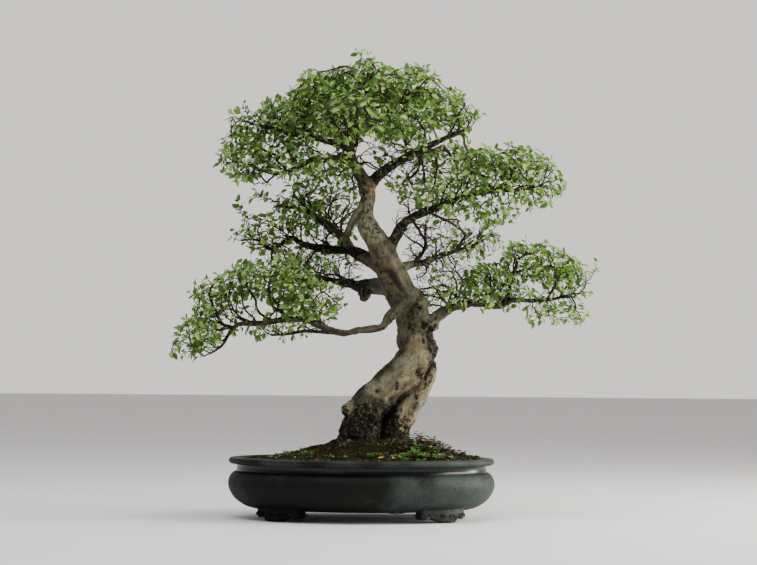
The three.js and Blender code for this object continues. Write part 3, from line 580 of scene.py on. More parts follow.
def lump(centre, size, detail, rough, seed):
    """Corners and faces of a rough lump."""
    ball = bmesh.new()
    bmesh.ops.create_icosphere(ball, subdivisions=detail, radius=1)
    corners = []
    for vert in ball.verts:
        swell = 1 + rough * noise.noise(vert.co * 1.7 + Vector((seed, seed * 0.7, 0)))
        corners.append(np.array(centre) + np.array(vert.co) * np.array(size) * swell)
    faces = np.array([[v.index for v in face.verts] for face in ball.faces])
    ball.free()
    return np.array(corners), [faces]


def soil_height(x, y):
    """Height of the soil, a mound that rises to the trunk's foot."""
    across = (x - MOUND_CENTRE) / MOUND_REACH_X
    deep = y / MOUND_REACH_Y
    waves = 1.6 * math.sin(x / 17 + 1) * math.cos(y / 14) + 1.2 * math.sin(x / 9 - y / 12)
    return SOIL_EDGE_HEIGHT + MOUND_HEIGHT * math.exp(-across * across - deep * deep) + waves


def on_soil(rng, least, most):
    """A random place on the soil, between two shares of the way from its middle to its edge."""
    share = math.sqrt(rng.uniform(least ** 2, most ** 2))
    turn = rng.uniform(0, 2 * math.pi)
    x = share * (SOIL_EDGE + OVAL_STRETCH - 2) * math.cos(turn)
    y = share * (SOIL_EDGE - 2) * math.sin(turn)
    return Vector((x, y, soil_height(x, y)))


# Materials

# How strongly soil, grit and moss mirror their surroundings
EARTH_SPECULAR = 0.12


def new_material(name):
    """A material with its shader, ready for nodes."""
    material = bpy.data.materials.new(name)
    material.use_nodes = True
    return material, material.node_tree.nodes["Principled BSDF"]


def add_node(material, kind, choices=None, **sockets):
    """Adds a node. Values and links go to the sockets named, with _ for a space."""
    made = material.node_tree.nodes.new("ShaderNode" + kind)
    for name, value in (choices or {}).items():
        setattr(made, name, value)
    for name, value in sockets.items():
        fill(material, made.inputs[name.replace("_", " ")], value)
    return made


def fill(material, socket, value):
    """Links a socket to another, or sets its value."""
    if isinstance(value, bpy.types.NodeSocket):
        material.node_tree.links.new(value, socket)
    elif hasattr(value, "__len__") and len(value) == 3 and len(socket.default_value) == 4:
        socket.default_value = (*value, 1)
    else:
        socket.default_value = value


def texture(material, kind, scale, stretch=(1, 1, 1), **sockets):
    """A texture in the object's own metres, scale patches to the metre."""
    place = add_node(material, "TexCoord").outputs["Object"]
    mapping = add_node(material, "Mapping", Vector=place, Scale=stretch)
    return add_node(material, "Tex" + kind, Vector=mapping.outputs["Vector"], Scale=scale, **sockets)


def ramp(material, factor, *stops):
    """A colour ramp over a factor, with stops of place and colour."""
    made = add_node(material, "ValToRGB", Fac=factor)
    points = made.color_ramp.elements
    while len(points) < len(stops):
        points.new(0.5)
    for point, (place, shade) in zip(points, stops):
        point.position = place
        point.color = (*shade, 1)
    return made.outputs["Color"]


def mixed(material, factor, first, second):
    """Two colours, mixed."""
    return add_node(material, "MixRGB", Fac=factor, Color1=first, Color2=second).outputs["Color"]


def ranged(material, value, low, high, to_low=0.0, to_high=1.0):
    """A value, moved from one range to another and clamped."""
    ends = {"From_Min": low, "From_Max": high, "To_Min": to_low, "To_Max": to_high}
    return add_node(material, "MapRange", Value=value, **ends).outputs["Result"]


def worked_out(material, operation, *values):
    """A number worked out from others."""
    made = add_node(material, "Math", {"operation": operation})
    for socket, value in zip(made.inputs, values):
        fill(material, socket, value)
    return made.outputs["Value"]


def vertex_value(material, name):
    """A value that the mesh holds at its corners."""
    return add_node(material, "Attribute", {"attribute_name": name}).outputs["Fac"]


def raise_surface(material, shader, height, depth, strength=1.0):
    """Bumps a shader's surface by a height."""
    bump = add_node(material, "Bump", Height=height, Distance=depth, Strength=strength)
    fill(material, shader.inputs["Normal"], bump.outputs["Normal"])


def clay_material(settings):
    """Fired clay, satin and speckled, paler towards its right end with pale bloom and painted light."""
    material, shader = new_material("fired_clay")
    broad = texture(material, "Noise", 14, Detail=4).outputs["Fac"]
    fine = texture(material, "Noise", 260, Detail=3).outputs["Fac"]
    speck = texture(material, "Voronoi", 330).outputs["Distance"]
    # aside holds the pale bloom at the pot's right end, which is also painted light from the right, and the
    # bloom on its lip; the white specks lie only where it is.
    aside = vertex_value(material, "bloom")
    worn_and_lit = ranged(material, worked_out(material, "MULTIPLY_ADD", aside, 0.3, broad), 0.54, 0.86, 0.0, 0.85)
    body = mixed(material, worn_and_lit, settings.clay, settings.bloom)
    body = mixed(material, ranged(material, fine, 0.35, 0.7, 0, 0.4), body, colour(17, 18, 16))
    dots = ranged(material, speck, 0.0, 0.2, 0.6, 0.0)
    body = mixed(material, mixed(material, aside, (0, 0, 0), dots), body, colour(140, 146, 136))
    fill(material, shader.inputs["Base Color"], body)
    fill(material, shader.inputs["Roughness"], ranged(material, fine, 0.3, 0.7, 0.5, 0.66))
    shader.inputs["Specular IOR Level"].default_value = 0.11
    raise_surface(material, shader, fine, settings.grain, 0.5)
    return material


def soil_material(settings):
    """Damp earth with darker and mossy patches."""
    material, shader = new_material("damp_soil")
    broad = texture(material, "Noise", 22, Detail=5).outputs["Fac"]
    fine = texture(material, "Noise", 420, Detail=4).outputs["Fac"]
    earth = ramp(material, fine, (0.3, colour(20, 16, 11)), (0.6, settings.earth), (0.85, colour(64, 50, 34)))
    green = ranged(material, broad, 0.46, 0.6, 0, 0.6)
    fill(material, shader.inputs["Base Color"], mixed(material, green, earth, settings.moss))
    shader.inputs["Roughness"].default_value = 0.93
    shader.inputs["Specular IOR Level"].default_value = EARTH_SPECULAR
    raise_surface(material, shader, fine, 0.0015)
    return material


def blend(first, second, share):
    """A colour between two."""
    return tuple(a + (b - a) * share for a, b in zip(first, second))


def bark_material(name, pale, dark):
    """Flaking elm bark: smooth pale plates, rough dark crust with lichen, dark cracks, painted shade in
    hollows, pits, grooves and clefts, and rust-brown streaks.
    """
    material, shader = new_material(name)
    broad = texture(material, "Noise", 24, (1, 1, 0.6), Detail=3).outputs["Fac"]
    middle = texture(material, "Noise", 62, (1, 1, 0.7), Detail=9, Roughness=0.68).outputs["Fac"]
    fine = texture(material, "Noise", 520, (1, 1, 0.5), Detail=5, Roughness=0.65).outputs["Fac"]
    flecks = texture(material, "Noise", 185, (1, 1, 0.7), Detail=4, Roughness=0.6).outputs["Fac"]
    streak, bare, moss, crack, warm = (
        vertex_value(material, key) for key in ("grain", "bare", "moss", "crack", "warm"))
    plates = ramp(
        material, streak, (0.22, colour(94, 87, 64)), (0.42, pale), (0.6, colour(139, 138, 112)),
        (0.8, colour(121, 110, 78)))
    plates = mixed(material, ranged(material, broad, 0.5, 0.62, 0, 0.6), plates, colour(141, 129, 86))
    plates = mixed(material, ranged(material, middle, 0.52, 0.64, 0, 0.55), plates, colour(84, 90, 64))
    old = ramp(
        material, streak, (0.22, dark), (0.42, blend(dark, pale, 0.1)), (0.6, blend(dark, pale, 0.33)),
        (0.8, blend(blend(dark, pale, 0.2), colour(70, 50, 34), 0.5)))
    skin = mixed(material, bare, old, plates)
    skin = mixed(material, ranged(material, fine, 0.48, 0.66, 0, 0.5), skin, blend(dark, pale, 0.12))
    skin = mixed(material, ranged(material, flecks, 0.5, 0.62, 0, 0.36), skin, blend(dark, pale, 0.08))
    glow = worked_out(material, "MULTIPLY_ADD", streak, 0.5, warm)
    rust = ramp(
        material, warm, (0.4, colour(112, 90, 58)), (0.62, colour(140, 98, 60)),
        (0.95, colour(146, 84, 50)))
    skin = mixed(material, ranged(material, glow, 0.38, 0.85, 0, 0.85), skin, rust)
    cover = worked_out(material, "MULTIPLY_ADD", moss, 0.5, middle)
    crust = ranged(material, cover, 0.725, 0.765)
    rim = ranged(material, cover, 0.665, 0.725, 0, 0.55)
    scabs = ramp(
        material, flecks, (0.37, colour(10, 8, 5)), (0.485, colour(28, 26, 18)), (0.56, colour(52, 50, 35)),
        (0.64, colour(103, 101, 77)), (0.72, colour(138, 134, 108)))
    scabs = mixed(material, ranged(material, fine, 0.4, 0.58, 0.55, 0), scabs, colour(13, 11, 7))
    skin = mixed(material, rim, skin, colour(96, 78, 54))
    skin = mixed(material, crust, skin, scabs)
    # The crack value darkens the cracks and the dark stripe, and paints shade into hollows, knob dips, pits,
    # grooves and the cleft.
    skin = mixed(material, ranged(material, crack, 0.25, 0.85, 0, 0.9), skin, colour(26, 20, 12))
    fill(material, shader.inputs["Base Color"], skin)
    fill(material, shader.inputs["Roughness"], ranged(material, crust, 0, 1, 0.68, 0.94))
    shader.inputs["Specular IOR Level"].default_value = 0.2
    grainy = mixed(material, 0.3, (0.5, 0.5, 0.5), streak)
    rough = mixed(material, crust, grainy, mixed(material, 0.5, fine, flecks))
    raise_surface(material, shader, mixed(material, 0.35, rough, middle), 0.0022, 0.9)
    return material


def leaf_material(name, stops, shine=0.42, glow=(160, 206, 62)):
    """Thin glossy leaves that let light through, each in its own green, with paler veins."""
    material, shader = new_material(name)
    tint = vertex_value(material, "tint")
    across = vertex_value(material, "across")
    along = vertex_value(material, "along")
    mottle = texture(material, "Noise", 900, Detail=2).outputs["Fac"]
    green = ramp(material, tint, *stops)
    green = mixed(material, ranged(material, mottle, 0.3, 0.7, 0, 0.25), green, colour(30, 56, 18))
    rib = ranged(material, across, 0.0, 0.12, 0.45, 0.0)
    slope = worked_out(material, "MULTIPLY_ADD", across, -0.45, along)
    veins = ranged(material, worked_out(material, "PINGPONG", slope, 0.055), 0.0, 0.012, 0.22, 0.0)
    green = mixed(material, rib, green, colour(124, 156, 80))
    green = mixed(material, veins, green, colour(108, 144, 68))
    fill(material, shader.inputs["Base Color"], green)
    shader.inputs["Roughness"].default_value = shine
    through = add_node(material, "BsdfTranslucent", Color=mixed(material, 0.5, green, colour(*glow)))
    both = add_node(material, "MixShader", Fac=0.34)
    fill(material, both.inputs[1], shader.outputs["BSDF"])
    fill(material, both.inputs[2], through.outputs["BSDF"])
    surface = material.node_tree.nodes["Material Output"].inputs["Surface"]
    fill(material, surface, both.outputs["Shader"])
    return material


def plain_material(name, shade, roughness, metallic=0.0, grain=900):
    """A small part's finish, with fine grain."""
    material, shader = new_material(name)
    fine = texture(material, "Noise", grain, Detail=3).outputs["Fac"]
    dull = tuple(s * 0.6 for s in shade)
    fill(material, shader.inputs["Base Color"], ramp(material, fine, (0.3, dull), (0.7, shade)))
    shader.inputs["Roughness"].default_value = roughness
    shader.inputs["Metallic"].default_value = metallic
    raise_surface(material, shader, fine, 0.0002, 0.4)
    return material


# Pot

def pot_profile():
    """The pot's section as rows of oval radius, height and how glossy the neck is there."""
    rows = [(0.0, FOOT_HEIGHT, 0.0), (FLAT_RADIUS, FOOT_HEIGHT, 0.0)]
    curves = (BASE_CURVE, 40, 0.0), (NECK_CURVE, 8, 1.0), (LIP_CURVE, 22, 0.0), (INSIDE_CURVE, 26, 0.0)
    for curve, steps, gloss in curves:
        rows += [(radius, height, gloss) for radius, height in smooth_line(curve, steps)]
    rows += [(FLAT_RADIUS, FLOOR_TOP, 0.0), (0.0, FLOOR_TOP, 0.0)]
    return rows


def oval_shell(pile, rows):
    """Spins rows of oval radius, height and neck gloss round the oval."""
    turns = np.arange(OVAL_SIDES) * 2 * math.pi / OVAL_SIDES
    radius, height, gloss = (np.array(values)[:, None] for values in zip(*rows))
    x = (radius + OVAL_STRETCH) * np.cos(turns)
    y = radius * np.sin(turns)
    corners = np.stack([x, y, height + np.zeros(OVAL_SIDES)], axis=-1).reshape(-1, 3)
    pile.add(corners, [ring_walls(len(rows), OVAL_SIDES)], neck=np.repeat(gloss, OVAL_SIDES))


def foot_outline(way):
    """The cloud foot's front as points of side and height, a scroll at each end and a lobe between."""
    half, scroll = FOOT_HALF, FOOT_SCROLL
    arc = [math.pi * (0.9 + 0.95 * k / 12) for k in range(13)]
    outer = [(-half, FOOT_HEIGHT + 10)]
    outer += [(-half + scroll + scroll * math.cos(a), 13 + scroll * math.sin(a)) for a in arc]
    outer += [(-34, 15), (-32, 10), (-29.5, 5), (-27, 2), (-24, 0.4), (-22, 0), (-12, 0), (-2, 0)]
    inner = [(half, FOOT_HEIGHT + 10)]
    inner += [(half - scroll - scroll * math.cos(a), 13 + scroll * math.sin(a)) for a in arc]
    inner += [(34, 14.5), (32.5, 11.5), (26, 8.6), (18, 5.2), (10, 2.2), (5, 0.6), (2, 0)]
    line = outer + inner[::-1]
    return line if way > 0 else [(-x, z) for x, z in line[::-1]]


def on_foot(angle, side, out, height):
    """A place on a foot, bent along the oval."""
    middle = math.radians(angle)
    spread = math.hypot((FOOT_OUT + OVAL_STRETCH) * math.sin(middle), FOOT_OUT * math.cos(middle))
    turned = middle + side / spread
    radius = FOOT_OUT + out
    return np.array(((radius + OVAL_STRETCH) * math.cos(turned), radius * math.sin(turned), height))


def foot_scrolls():
    """Lines of raised carving on a foot's face, as places of side and height with a radius."""
    lines = []
    for x, z, reach, winding, way in FOOT_SPIRALS:
        spiral = []
        for k in range(SPIRAL_POINTS):
            turn = k * winding / SPIRAL_POINTS - 0.6
            out = reach * (1 - k / 32)
            spiral.append((x + way * out * math.cos(turn), z + 0.85 * out * math.sin(turn), 1.3))
        lines.append(spiral)
    lines.append([(-34 + 1.6 * k, 17 - 7 * math.sin(k / 7 * 1.5), 1.2) for k in range(8)])
    lines.append([(14 + 2.4 * k, 11.5 + 0.5 * k + 1.6 * math.sin(k), 1.4) for k in range(9)])
    lines.append([(-22 + 2.4 * k, 3.4 + 0.8 * math.cos(k), 1.3) for k in range(9)])
    return lines


def build_foot(pile, angle, way):
    """One carved cloud foot. way is 1 where its inner end lies the way that angles grow, else -1."""
    outline = foot_outline(way)
    depths = [0, 1, 3.2, 7, FOOT_DEPTH / 2, FOOT_DEPTH - 7, FOOT_DEPTH - 3.2, FOOT_DEPTH - 1, FOOT_DEPTH]
    inset = [5, 2.7, 1, 0.2, 0, 0.2, 1, 2.7, 5]
    middle = 15
    corners = []
    for depth, shrink in zip(depths, inset):
        sole = 7 * max(0.0, 1 - depth / 14)
        for side, height in outline:
            share = 1 - shrink / max(math.hypot(side, height - middle), 4)
            lifted = middle + (height - middle) * share
            corners.append(on_foot(angle, side * share, depth - FOOT_DEPTH / 2, max(lifted, sole)))
    rings, sides = len(depths), len(outline)
    pile.add(np.array(corners), [ring_walls(rings, sides), *ring_caps(rings, sides)])
    for line in foot_scrolls():
        places = smooth_line(line, len(line) * 2)
        centres = np.array([on_foot(angle, way * s, FOOT_DEPTH / 2 - 0.1, h) for s, h, _ in places])
        pile.add(*tube(centres, places[:, 2], 8))


class BONSAI_OT_pot(bpy.types.Operator):
    """Builds the oval pot with its belly, glossy neck, rolled lip and carved cloud feet"""

    bl_idname = "bonsai.pot"
    bl_label = "Pot"

    def execute(self, context):
        material = clay_material(context.scene.bonsai_pot)
        shell = Pile()
        oval_shell(shell, pot_profile())
        pot = shell.build("pot_shell", material)
        weld(pot)
        drill_holes(pot)
        spread_bloom(pot)
        gloss = plain_material("glossy_clay", colour(19, 22, 23), 0.24, grain=260)
        gloss.node_tree.nodes["Principled BSDF"].inputs["Specular IOR Level"].default_value = 0.24
        pot.data.materials.append(gloss)
        neck = pot.data.attributes["neck"].data
        for face in pot.data.polygons:
            face.material_index = int(all(neck[corner].value > 0.5 for corner in face.vertices))
        settle(pot, "clay", "pot")
        angles = (FOOT_ANGLE, 180 - FOOT_ANGLE, 180 + FOOT_ANGLE, 360 - FOOT_ANGLE)
        for index, angle in enumerate(angles):
            foot = Pile()
            build_foot(foot, angle, 1 if index % 2 == 0 else -1)
            cloud = foot.build(f"pot_foot_{index + 1}", material)
            spread_bloom(cloud)
            settle(cloud, "clay")
        return {"FINISHED"}


def spread_bloom(piece):
    """Marks how thick the pale bloom lies, with painted light from the right: most at the pot's right end,
    and less on its lip.
    """
    x, y, z = tree_places(piece.data).T
    set_values(piece.data, bloom=np.maximum(ease(x - 0.3 * y, *BLOOM_AND_LIGHT_SIDE), 0.45 * (z > BLOOM_LIP)))


def weld(piece):
    """Joins corners that lie together and turns every face outwards."""
    work = bmesh.new()
    work.from_mesh(piece.data)
    bmesh.ops.remove_doubles(work, verts=work.verts, dist=1e-6)
    bmesh.ops.recalc_face_normals(work, faces=work.faces)
    work.to_mesh(piece.data)
    work.free()


def apply_modifiers(piece):
    """Keeps the shape that a piece's modifiers give."""
    graph = bpy.context.evaluated_depsgraph_get()
    made = bpy.data.meshes.new_from_object(piece.evaluated_get(graph), depsgraph=graph)
    piece.modifiers.clear()
    piece.data = made


def drill_holes(pot):
    """Cuts the drain and wire holes through the pot's floor."""
    drills = Pile()
    for x, y, radius in HOLES:
        rod = np.array([(x, y, float(z)) for z in HOLE_ENDS])
        drills.add(*tube(rod, np.array((radius, radius)), 32))
    rods = drills.build("drills", pot.data.materials[0])
    weld(rods)
    cut = pot.modifiers.new("holes", "BOOLEAN")
    cut.operation = "DIFFERENCE"
    cut.solver = "EXACT"
    cut.object = rods
    apply_modifiers(pot)
    bpy.data.objects.remove(rods)


class BONSAI_OT_fittings(bpy.types.Operator):
    """Finishes the tie wire and the drain screens"""

    bl_idname = "bonsai.fittings"
    bl_label = "Wire and screens"

    def execute(self, context):
        middle = WIRE_HALF[-1][0]
        route = WIRE_HALF + [(2 * middle - x, z) for x, z in reversed(WIRE_HALF[:-1])]
        centres = smooth_line([(x, WIRE_Y, z) for x, z in route], 90)
        wire = Pile()
        wire.add(*tube(centres, np.full(len(centres), WIRE_RADIUS), 10))
        coated = plain_material("coated_wire", colour(128, 108, 84), 0.42, metallic=0.3)
        settle(wire.build("tie_wire_round", coated), "wire", "tie_wire")
        plastic = plain_material("screen_plastic", colour(34, 38, 36), 0.6)
        for name in ("drain_screen_left", "drain_screen_right"):
            screen = frame["nodes"][name]
            screen.data.materials.clear()
            screen.data.materials.append(plastic)
        return {"FINISHED"}


# Soil and what grows on it

class BONSAI_OT_soil(bpy.types.Operator):
    """Builds the soil mound with its grit"""

    bl_idname = "bonsai.soil"
    bl_label = "Soil"

    def execute(self, context):
        settings = context.scene.bonsai_soil
        rng = random.Random(21)
        mound = mound_shape().build("soil_mound", soil_material(settings))
        weld(mound)
        settle(mound, "soil", "soil")
        grit = Pile()
        for index in range(settings.grit_count):
            spot = on_soil(rng, 0.25, 1)
            size = settings.grit_size / MM / 2 * rng.uniform(0.5, 1.35)
            shape = (size, size * rng.uniform(0.7, 1), size * rng.uniform(0.5, 0.9))
            tint = rng.random()
            grain = lump(spot + Vector((0, 0, 0.4)), shape, detail=1, rough=0.5, seed=index)
            grit.add(*grain, tint=tint)
        settle(grit.build("soil_grit", grit_material(), smooth=False), "soil")
        return {"FINISHED"}


def mound_shape():
    """The soil's rough top, from its middle outwards, and its smooth side and underside."""
    corners = []
    turns = [2 * math.pi * k / SOIL_SIDES for k in range(SOIL_SIDES)]
    for ring in range(SOIL_RINGS + 1):
        radius = SOIL_EDGE * ring / SOIL_RINGS
        for turn in turns:
            x = (radius + OVAL_STRETCH * min(1, ring / 8)) * math.cos(turn)
            y = radius * math.sin(turn)
            rough = 1.3 * noise.fractal(Vector((x, y, 0)) / 9, 0.8, 2.1, 3)
            corners.append((x, y, soil_height(x, y) + rough - 1.2 * (ring == SOIL_RINGS)))
    for radius, height in SOIL_UNDERSIDE:
        for turn in turns:
            corners.append(((radius + OVAL_STRETCH) * math.cos(turn), radius * math.sin(turn), height))
    rings = SOIL_RINGS + 1 + len(SOIL_UNDERSIDE)
    walls = ring_walls(rings, SOIL_SIDES)[:, [0, 3, 2, 1]]
    bottom = ring_caps(rings, SOIL_SIDES)[1][:, ::-1]
    pile = Pile()
    pile.add(np.array(corners), [walls, bottom])
    return pile


def grit_material():
    """Fired clay grit and bark crumbs, each grain in its own earth colour."""
    material, shader = new_material("grit")
    fine = texture(material, "Noise", 700, Detail=3).outputs["Fac"]
    tint = vertex_value(material, "tint")
    earth = ramp(
        material, tint, (0.0, colour(20, 16, 11)), (0.5, colour(42, 31, 19)), (0.78, colour(84, 56, 31)),
        (0.94, colour(136, 112, 76)))
    earth = mixed(material, ranged(material, fine, 0.35, 0.7, 0, 0.5), earth, colour(34, 28, 20))
    fill(material, shader.inputs["Base Color"], earth)
    shader.inputs["Roughness"].default_value = 0.9
    shader.inputs["Specular IOR Level"].default_value = EARTH_SPECULAR
    raise_surface(material, shader, fine, 0.0006)
    return material


# Small plants on the mound by kind: x, y, how many stems, their height and leaf length
WEEDS = {
    "weed_green": [
        (20, -114, 10, 8, 6), (32, -110, 8, 7, 5), (76, -126, 10, 9, 6), (90, -116, 12, 12, 7),
        (106, -112, 14, 18, 8), (124, -108, 10, 15, 7), (146, -106, 10, 12, 7), (88, -134, 8, 6, 5),
        (114, -130, 9, 8, 6), (160, -84, 8, 10, 6), (176, -92, 7, 7, 5), (64, -112, 6, 7, 5),
        (112, -76, 9, 20, 8), (144, -70, 9, 19, 8), (-174, -70, 3, 15, 7), (-164, -78, 3, 12, 6),
        (-60, -112, 6, 6, 5), (-30, -122, 5, 6, 4), (-120, 60, 8, 10, 6), (40, 110, 9, 9, 6),
        (-40, 118, 8, 8, 6), (180, 40, 7, 9, 6), (-150, -10, 6, 7, 5), (-110, -60, 6, 7, 5),
    ],
    "weed_purple": [
        (104, -52, 16, 30, 10), (118, -44, 18, 32, 10), (132, -52, 18, 28, 10), (146, -46, 15, 24, 10),
        (160, -54, 14, 20, 9), (178, -50, 12, 16, 8), (94, -66, 10, 18, 8), (128, -78, 12, 16, 8),
        (148, -88, 10, 12, 7), (84, -80, 9, 12, 6), (196, -46, 8, 11, 7), (168, -72, 9, 12, 7),
        (-98, -100, 5, 5, 4), (110, 92, 9, 10, 6),
    ],
}
GRASS = [
    (-143, -62), (-134, -70), (-124, -66), (-114, -76), (-104, -70), (-96, -84), (-150, -52),
    (-90, 80), (60, 118),
]
FALLEN_LEAVES = [
    (47, -126, 0.97), (58, -131, 0.85), (-87, -62, 1.0), (-130, -86, 0.9), (150, 70, 0.95),
    (-70, 110, 0.97),
]


class BONSAI_OT_ground_cover(bpy.types.Operator):
    """Grows the moss, small weeds and fallen leaves on the soil"""

    bl_idname = "bonsai.ground_cover"
    bl_label = "Moss and weeds"

    def execute(self, context):
        settings = context.scene.bonsai_soil
        rng = random.Random(5)
        tufts = Pile()
        planted = 0
        while planted < settings.tuft_count:
            spot = on_soil(rng, 0.12, 0.99)
            patch = noise.noise(Vector((spot.x, spot.y, 0)) / 26)
            patch += 0.35 * noise.noise(Vector((spot.x, spot.y, 9)) / 8)
            away = math.hypot((spot.x - MOUND_CENTRE) / 1.5, spot.y)
            if patch + (0.35 if away < MOSS_NEAR else 0) < rng.uniform(-0.1, 0.3):
                continue
            moss_tuft(tufts, spot, rng)
            planted += 1
        settle(tufts.build("moss", moss_material(settings), smooth=False), "soil")
        greens = (0.0, colour(46, 72, 28)), (0.5, colour(92, 130, 56)), (0.9, colour(158, 186, 104))
        purples = (0.0, colour(38, 20, 20)), (0.5, colour(74, 42, 36)), (0.9, colour(92, 76, 46))
        kinds = ("weed_green", greens, (120, 190, 60)), ("weed_purple", purples, (130, 70, 50))
        for kind, stops, glow in kinds:
            plants = Pile()
            for x, y, stems, height, length in WEEDS[kind]:
                weed(plants, Vector((x, y, soil_height(x, y) - 1)), stems, height, length, rng)
            if kind == "weed_green":
                for x, y in GRASS:
                    grass(plants, Vector((x, y, soil_height(x, y) - 1)), rng)
            material = leaf_material(kind + "_leaf", stops, glow=glow)
            settle(plants.build(kind, material, smooth=False), "leaf")
        fallen = Pile()
        for x, y, tint in FALLEN_LEAVES:
            spot = Vector((x, y, soil_height(x, y) + 2.2))
            heading = Vector((rng.uniform(-1, 1), rng.uniform(-1, 1), 0.05)).normalized()
            add_leaves(fallen, [(spot, heading, Vector((0.1, -0.35, 1)), 14.0, tint)])
        for _ in range(LITTER_COUNT):
            spot = on_soil(rng, 0.2, 0.97) + Vector((0, 0, 1.6))
            heading = Vector((rng.uniform(-1, 1), rng.uniform(-1, 1), rng.uniform(-0.3, 0.3))).normalized()
            face = Vector((rng.uniform(-0.5, 0.5), rng.uniform(-0.5, 0.5), 1))
            add_leaves(fallen, [(spot, heading, face, rng.uniform(4, 9), rng.uniform(0, 0.62))])
        stops = (
            (0.0, colour(26, 19, 12)), (0.3, colour(58, 40, 24)), (0.6, colour(112, 78, 44)),
            (0.8, colour(196, 160, 60)), (0.94, colour(206, 178, 84)), (1.0, colour(150, 40, 30)))
        material = leaf_material("fallen_leaf", stops, 0.6, (150, 112, 60))
        settle(fallen.build("fallen_leaves", material, smooth=False), "leaf")
        return {"FINISHED"}


def grass(pile, foot, rng):
    """A tuft of fine upright blades."""
    for _ in range(10):
        lean = Vector((rng.uniform(-1, 1), rng.uniform(-1, 1), 0)) * 0.6
        side = Vector((rng.uniform(-1, 1), rng.uniform(-1, 1), 0)).normalized() * 0.45
        spot = foot + lean * 3
        middle = spot + (lean + Vector((0, 0, 1.6))) * rng.uniform(2.5, 4.5)
        tip = middle + (2.2 * lean + Vector((0, 0, 1))) * rng.uniform(3, 6)
        corners = np.array([spot - side, spot + side, middle + side * 0.8, middle - side * 0.8, tip])
        faces = [np.array([(0, 1, 2, 3)]), np.array([(3, 2, 4)])]
        pile.add(corners, faces, tint=rng.uniform(0, 0.6), across=0.6, along=0.3)


def moss_tuft(pile, spot, rng):
    """A tiny star of pointed moss leaves."""
    corners, faces = [], []
    blades = 6
    height = rng.uniform(2.0, 4.2)
    start = rng.uniform(0, 6)
    for k in range(blades):
        turn = start + k * 2 * math.pi / blades
        out = Vector((math.cos(turn), math.sin(turn), 0))
        side = Vector((-out.y, out.x, 0)) * 0.55
        tip = spot + out * rng.uniform(0.9, 2.2) + Vector((0, 0, height * rng.uniform(0.6, 1.1)))
        corners += [spot - side, spot + side, tip]
        faces.append((3 * k, 3 * k + 1, 3 * k + 2))
    pile.add(np.array(corners), [np.array(faces)], tint=rng.random(), rise=np.tile((0, 0, 1), blades))


def moss_material(settings):
    """Moss, dark at its foot and bright at its tips, in patches."""
    material, shader = new_material("moss")
    tint = vertex_value(material, "tint")
    rise = vertex_value(material, "rise")
    patch = texture(material, "Noise", 26, Detail=2).outputs["Fac"]
    tips = ramp(material, tint, (0.0, colour(34, 37, 17)), (0.5, settings.moss), (0.88, colour(116, 130, 58)))
    tips = mixed(material, ranged(material, patch, 0.45, 0.6, 0, 0.7), tips, colour(70, 54, 32))
    fill(material, shader.inputs["Base Color"], mixed(material, rise, colour(26, 26, 14), tips))
    shader.inputs["Roughness"].default_value = 0.85
    shader.inputs["Specular IOR Level"].default_value = EARTH_SPECULAR
    return material


def weed(pile, foot, stems, height, length, rng):
    """A small spreading plant: thin stems with leaves up them."""
    for _ in range(stems):
        turn = rng.uniform(0, 2 * math.pi)
        lean = Vector((math.cos(turn), math.sin(turn), 0)) * rng.uniform(0.2, 1.1)
        top = foot + (lean + Vector((0, 0, 1))).normalized() * height * rng.uniform(0.6, 1.2)
        start = foot + lean * 3
        line = smooth_line([tuple(start), tuple((start + top) / 2 + lean), tuple(top)], 4)
        corners, faces = tube(line, np.linspace(0.45, 0.25, 5), 4)
        pile.add(corners, faces, tint=0.2, across=0.5, along=0.5)
        leaves = []
        for share in (0.45, 0.7, 0.85, 1.0):
            spot = start.lerp(top, share)
            aim = rng.uniform(0, 2 * math.pi)
            heading = Vector((math.cos(aim), math.sin(aim), 0.35)).normalized()
            face = Vector((rng.uniform(-0.4, 0.4), rng.uniform(-0.8, 0.2), 1))
            leaves.append((spot, heading, face, length * rng.uniform(0.6, 1.2), rng.random()))
        add_leaves(pile, leaves)


# Wood

def ring_count(stations, spacing):
    """How many rings a limb takes at that spacing."""
    places = np.array(stations)[:, :3]
    return max(4, int(np.linalg.norm(np.diff(places, axis=0), axis=1).sum() / spacing))


def add_limb(pile, stations, sides, spacing, depth, seed, twist=LIMB_TWIST, **values):
    """Adds a knotty limb. depth is how much it swells, as a share of its radius."""
    line = smooth_line(stations, ring_count(stations, spacing))
    swell = knotty(len(line), sides, spacing * 0.035, depth, seed, twist)
    grain = np.clip(0.5 + 0.6 * (swell - 1) / depth, 0, 1).ravel()
    pile.add(*tube(line[:, :3], np.maximum(line[:, 3], 0.6), sides, swell), grain=grain, **values)


def split_limb(stations):
    """A limb's thick stretch, and the thin stretch that starts inside it."""
    thick = [s for s in stations if s[3] >= THICK_LIMB]
    return stations[:max(2, len(thick) + 1)], stations[max(0, len(thick) - 1):]


def distance_to_line(places, stations):
    """How far each place is from a limb's surface."""
    best = np.full(len(places), 1e9)
    for x, y, z, radius in smooth_line(stations, 8 * len(stations)):
        best = np.minimum(best, np.linalg.norm(places - (x, y, z), axis=1) - radius)
    return best


def near(places, spot, radius):
    """1 well within a radius of a spot, fading to 0 past it."""
    away = np.linalg.norm(places - np.array(spot), axis=1) / radius
    return ease(away, 1 + SPOT_BLUR, 1 - SPOT_BLUR)


def ease(values, low, high):
    """A smooth step from 0 at low to 1 at high."""
    share = np.clip((values - low) / (high - low), 0, 1)
    return share * share * (3 - 2 * share)


def noise_at(places, size, detail=3):
    """Smooth noise of about -1 to 1 at each place, with patches of that size in millimetres."""
    return np.array([noise.fractal(Vector(place) / size, 0.9, 2.0, detail) for place in places])


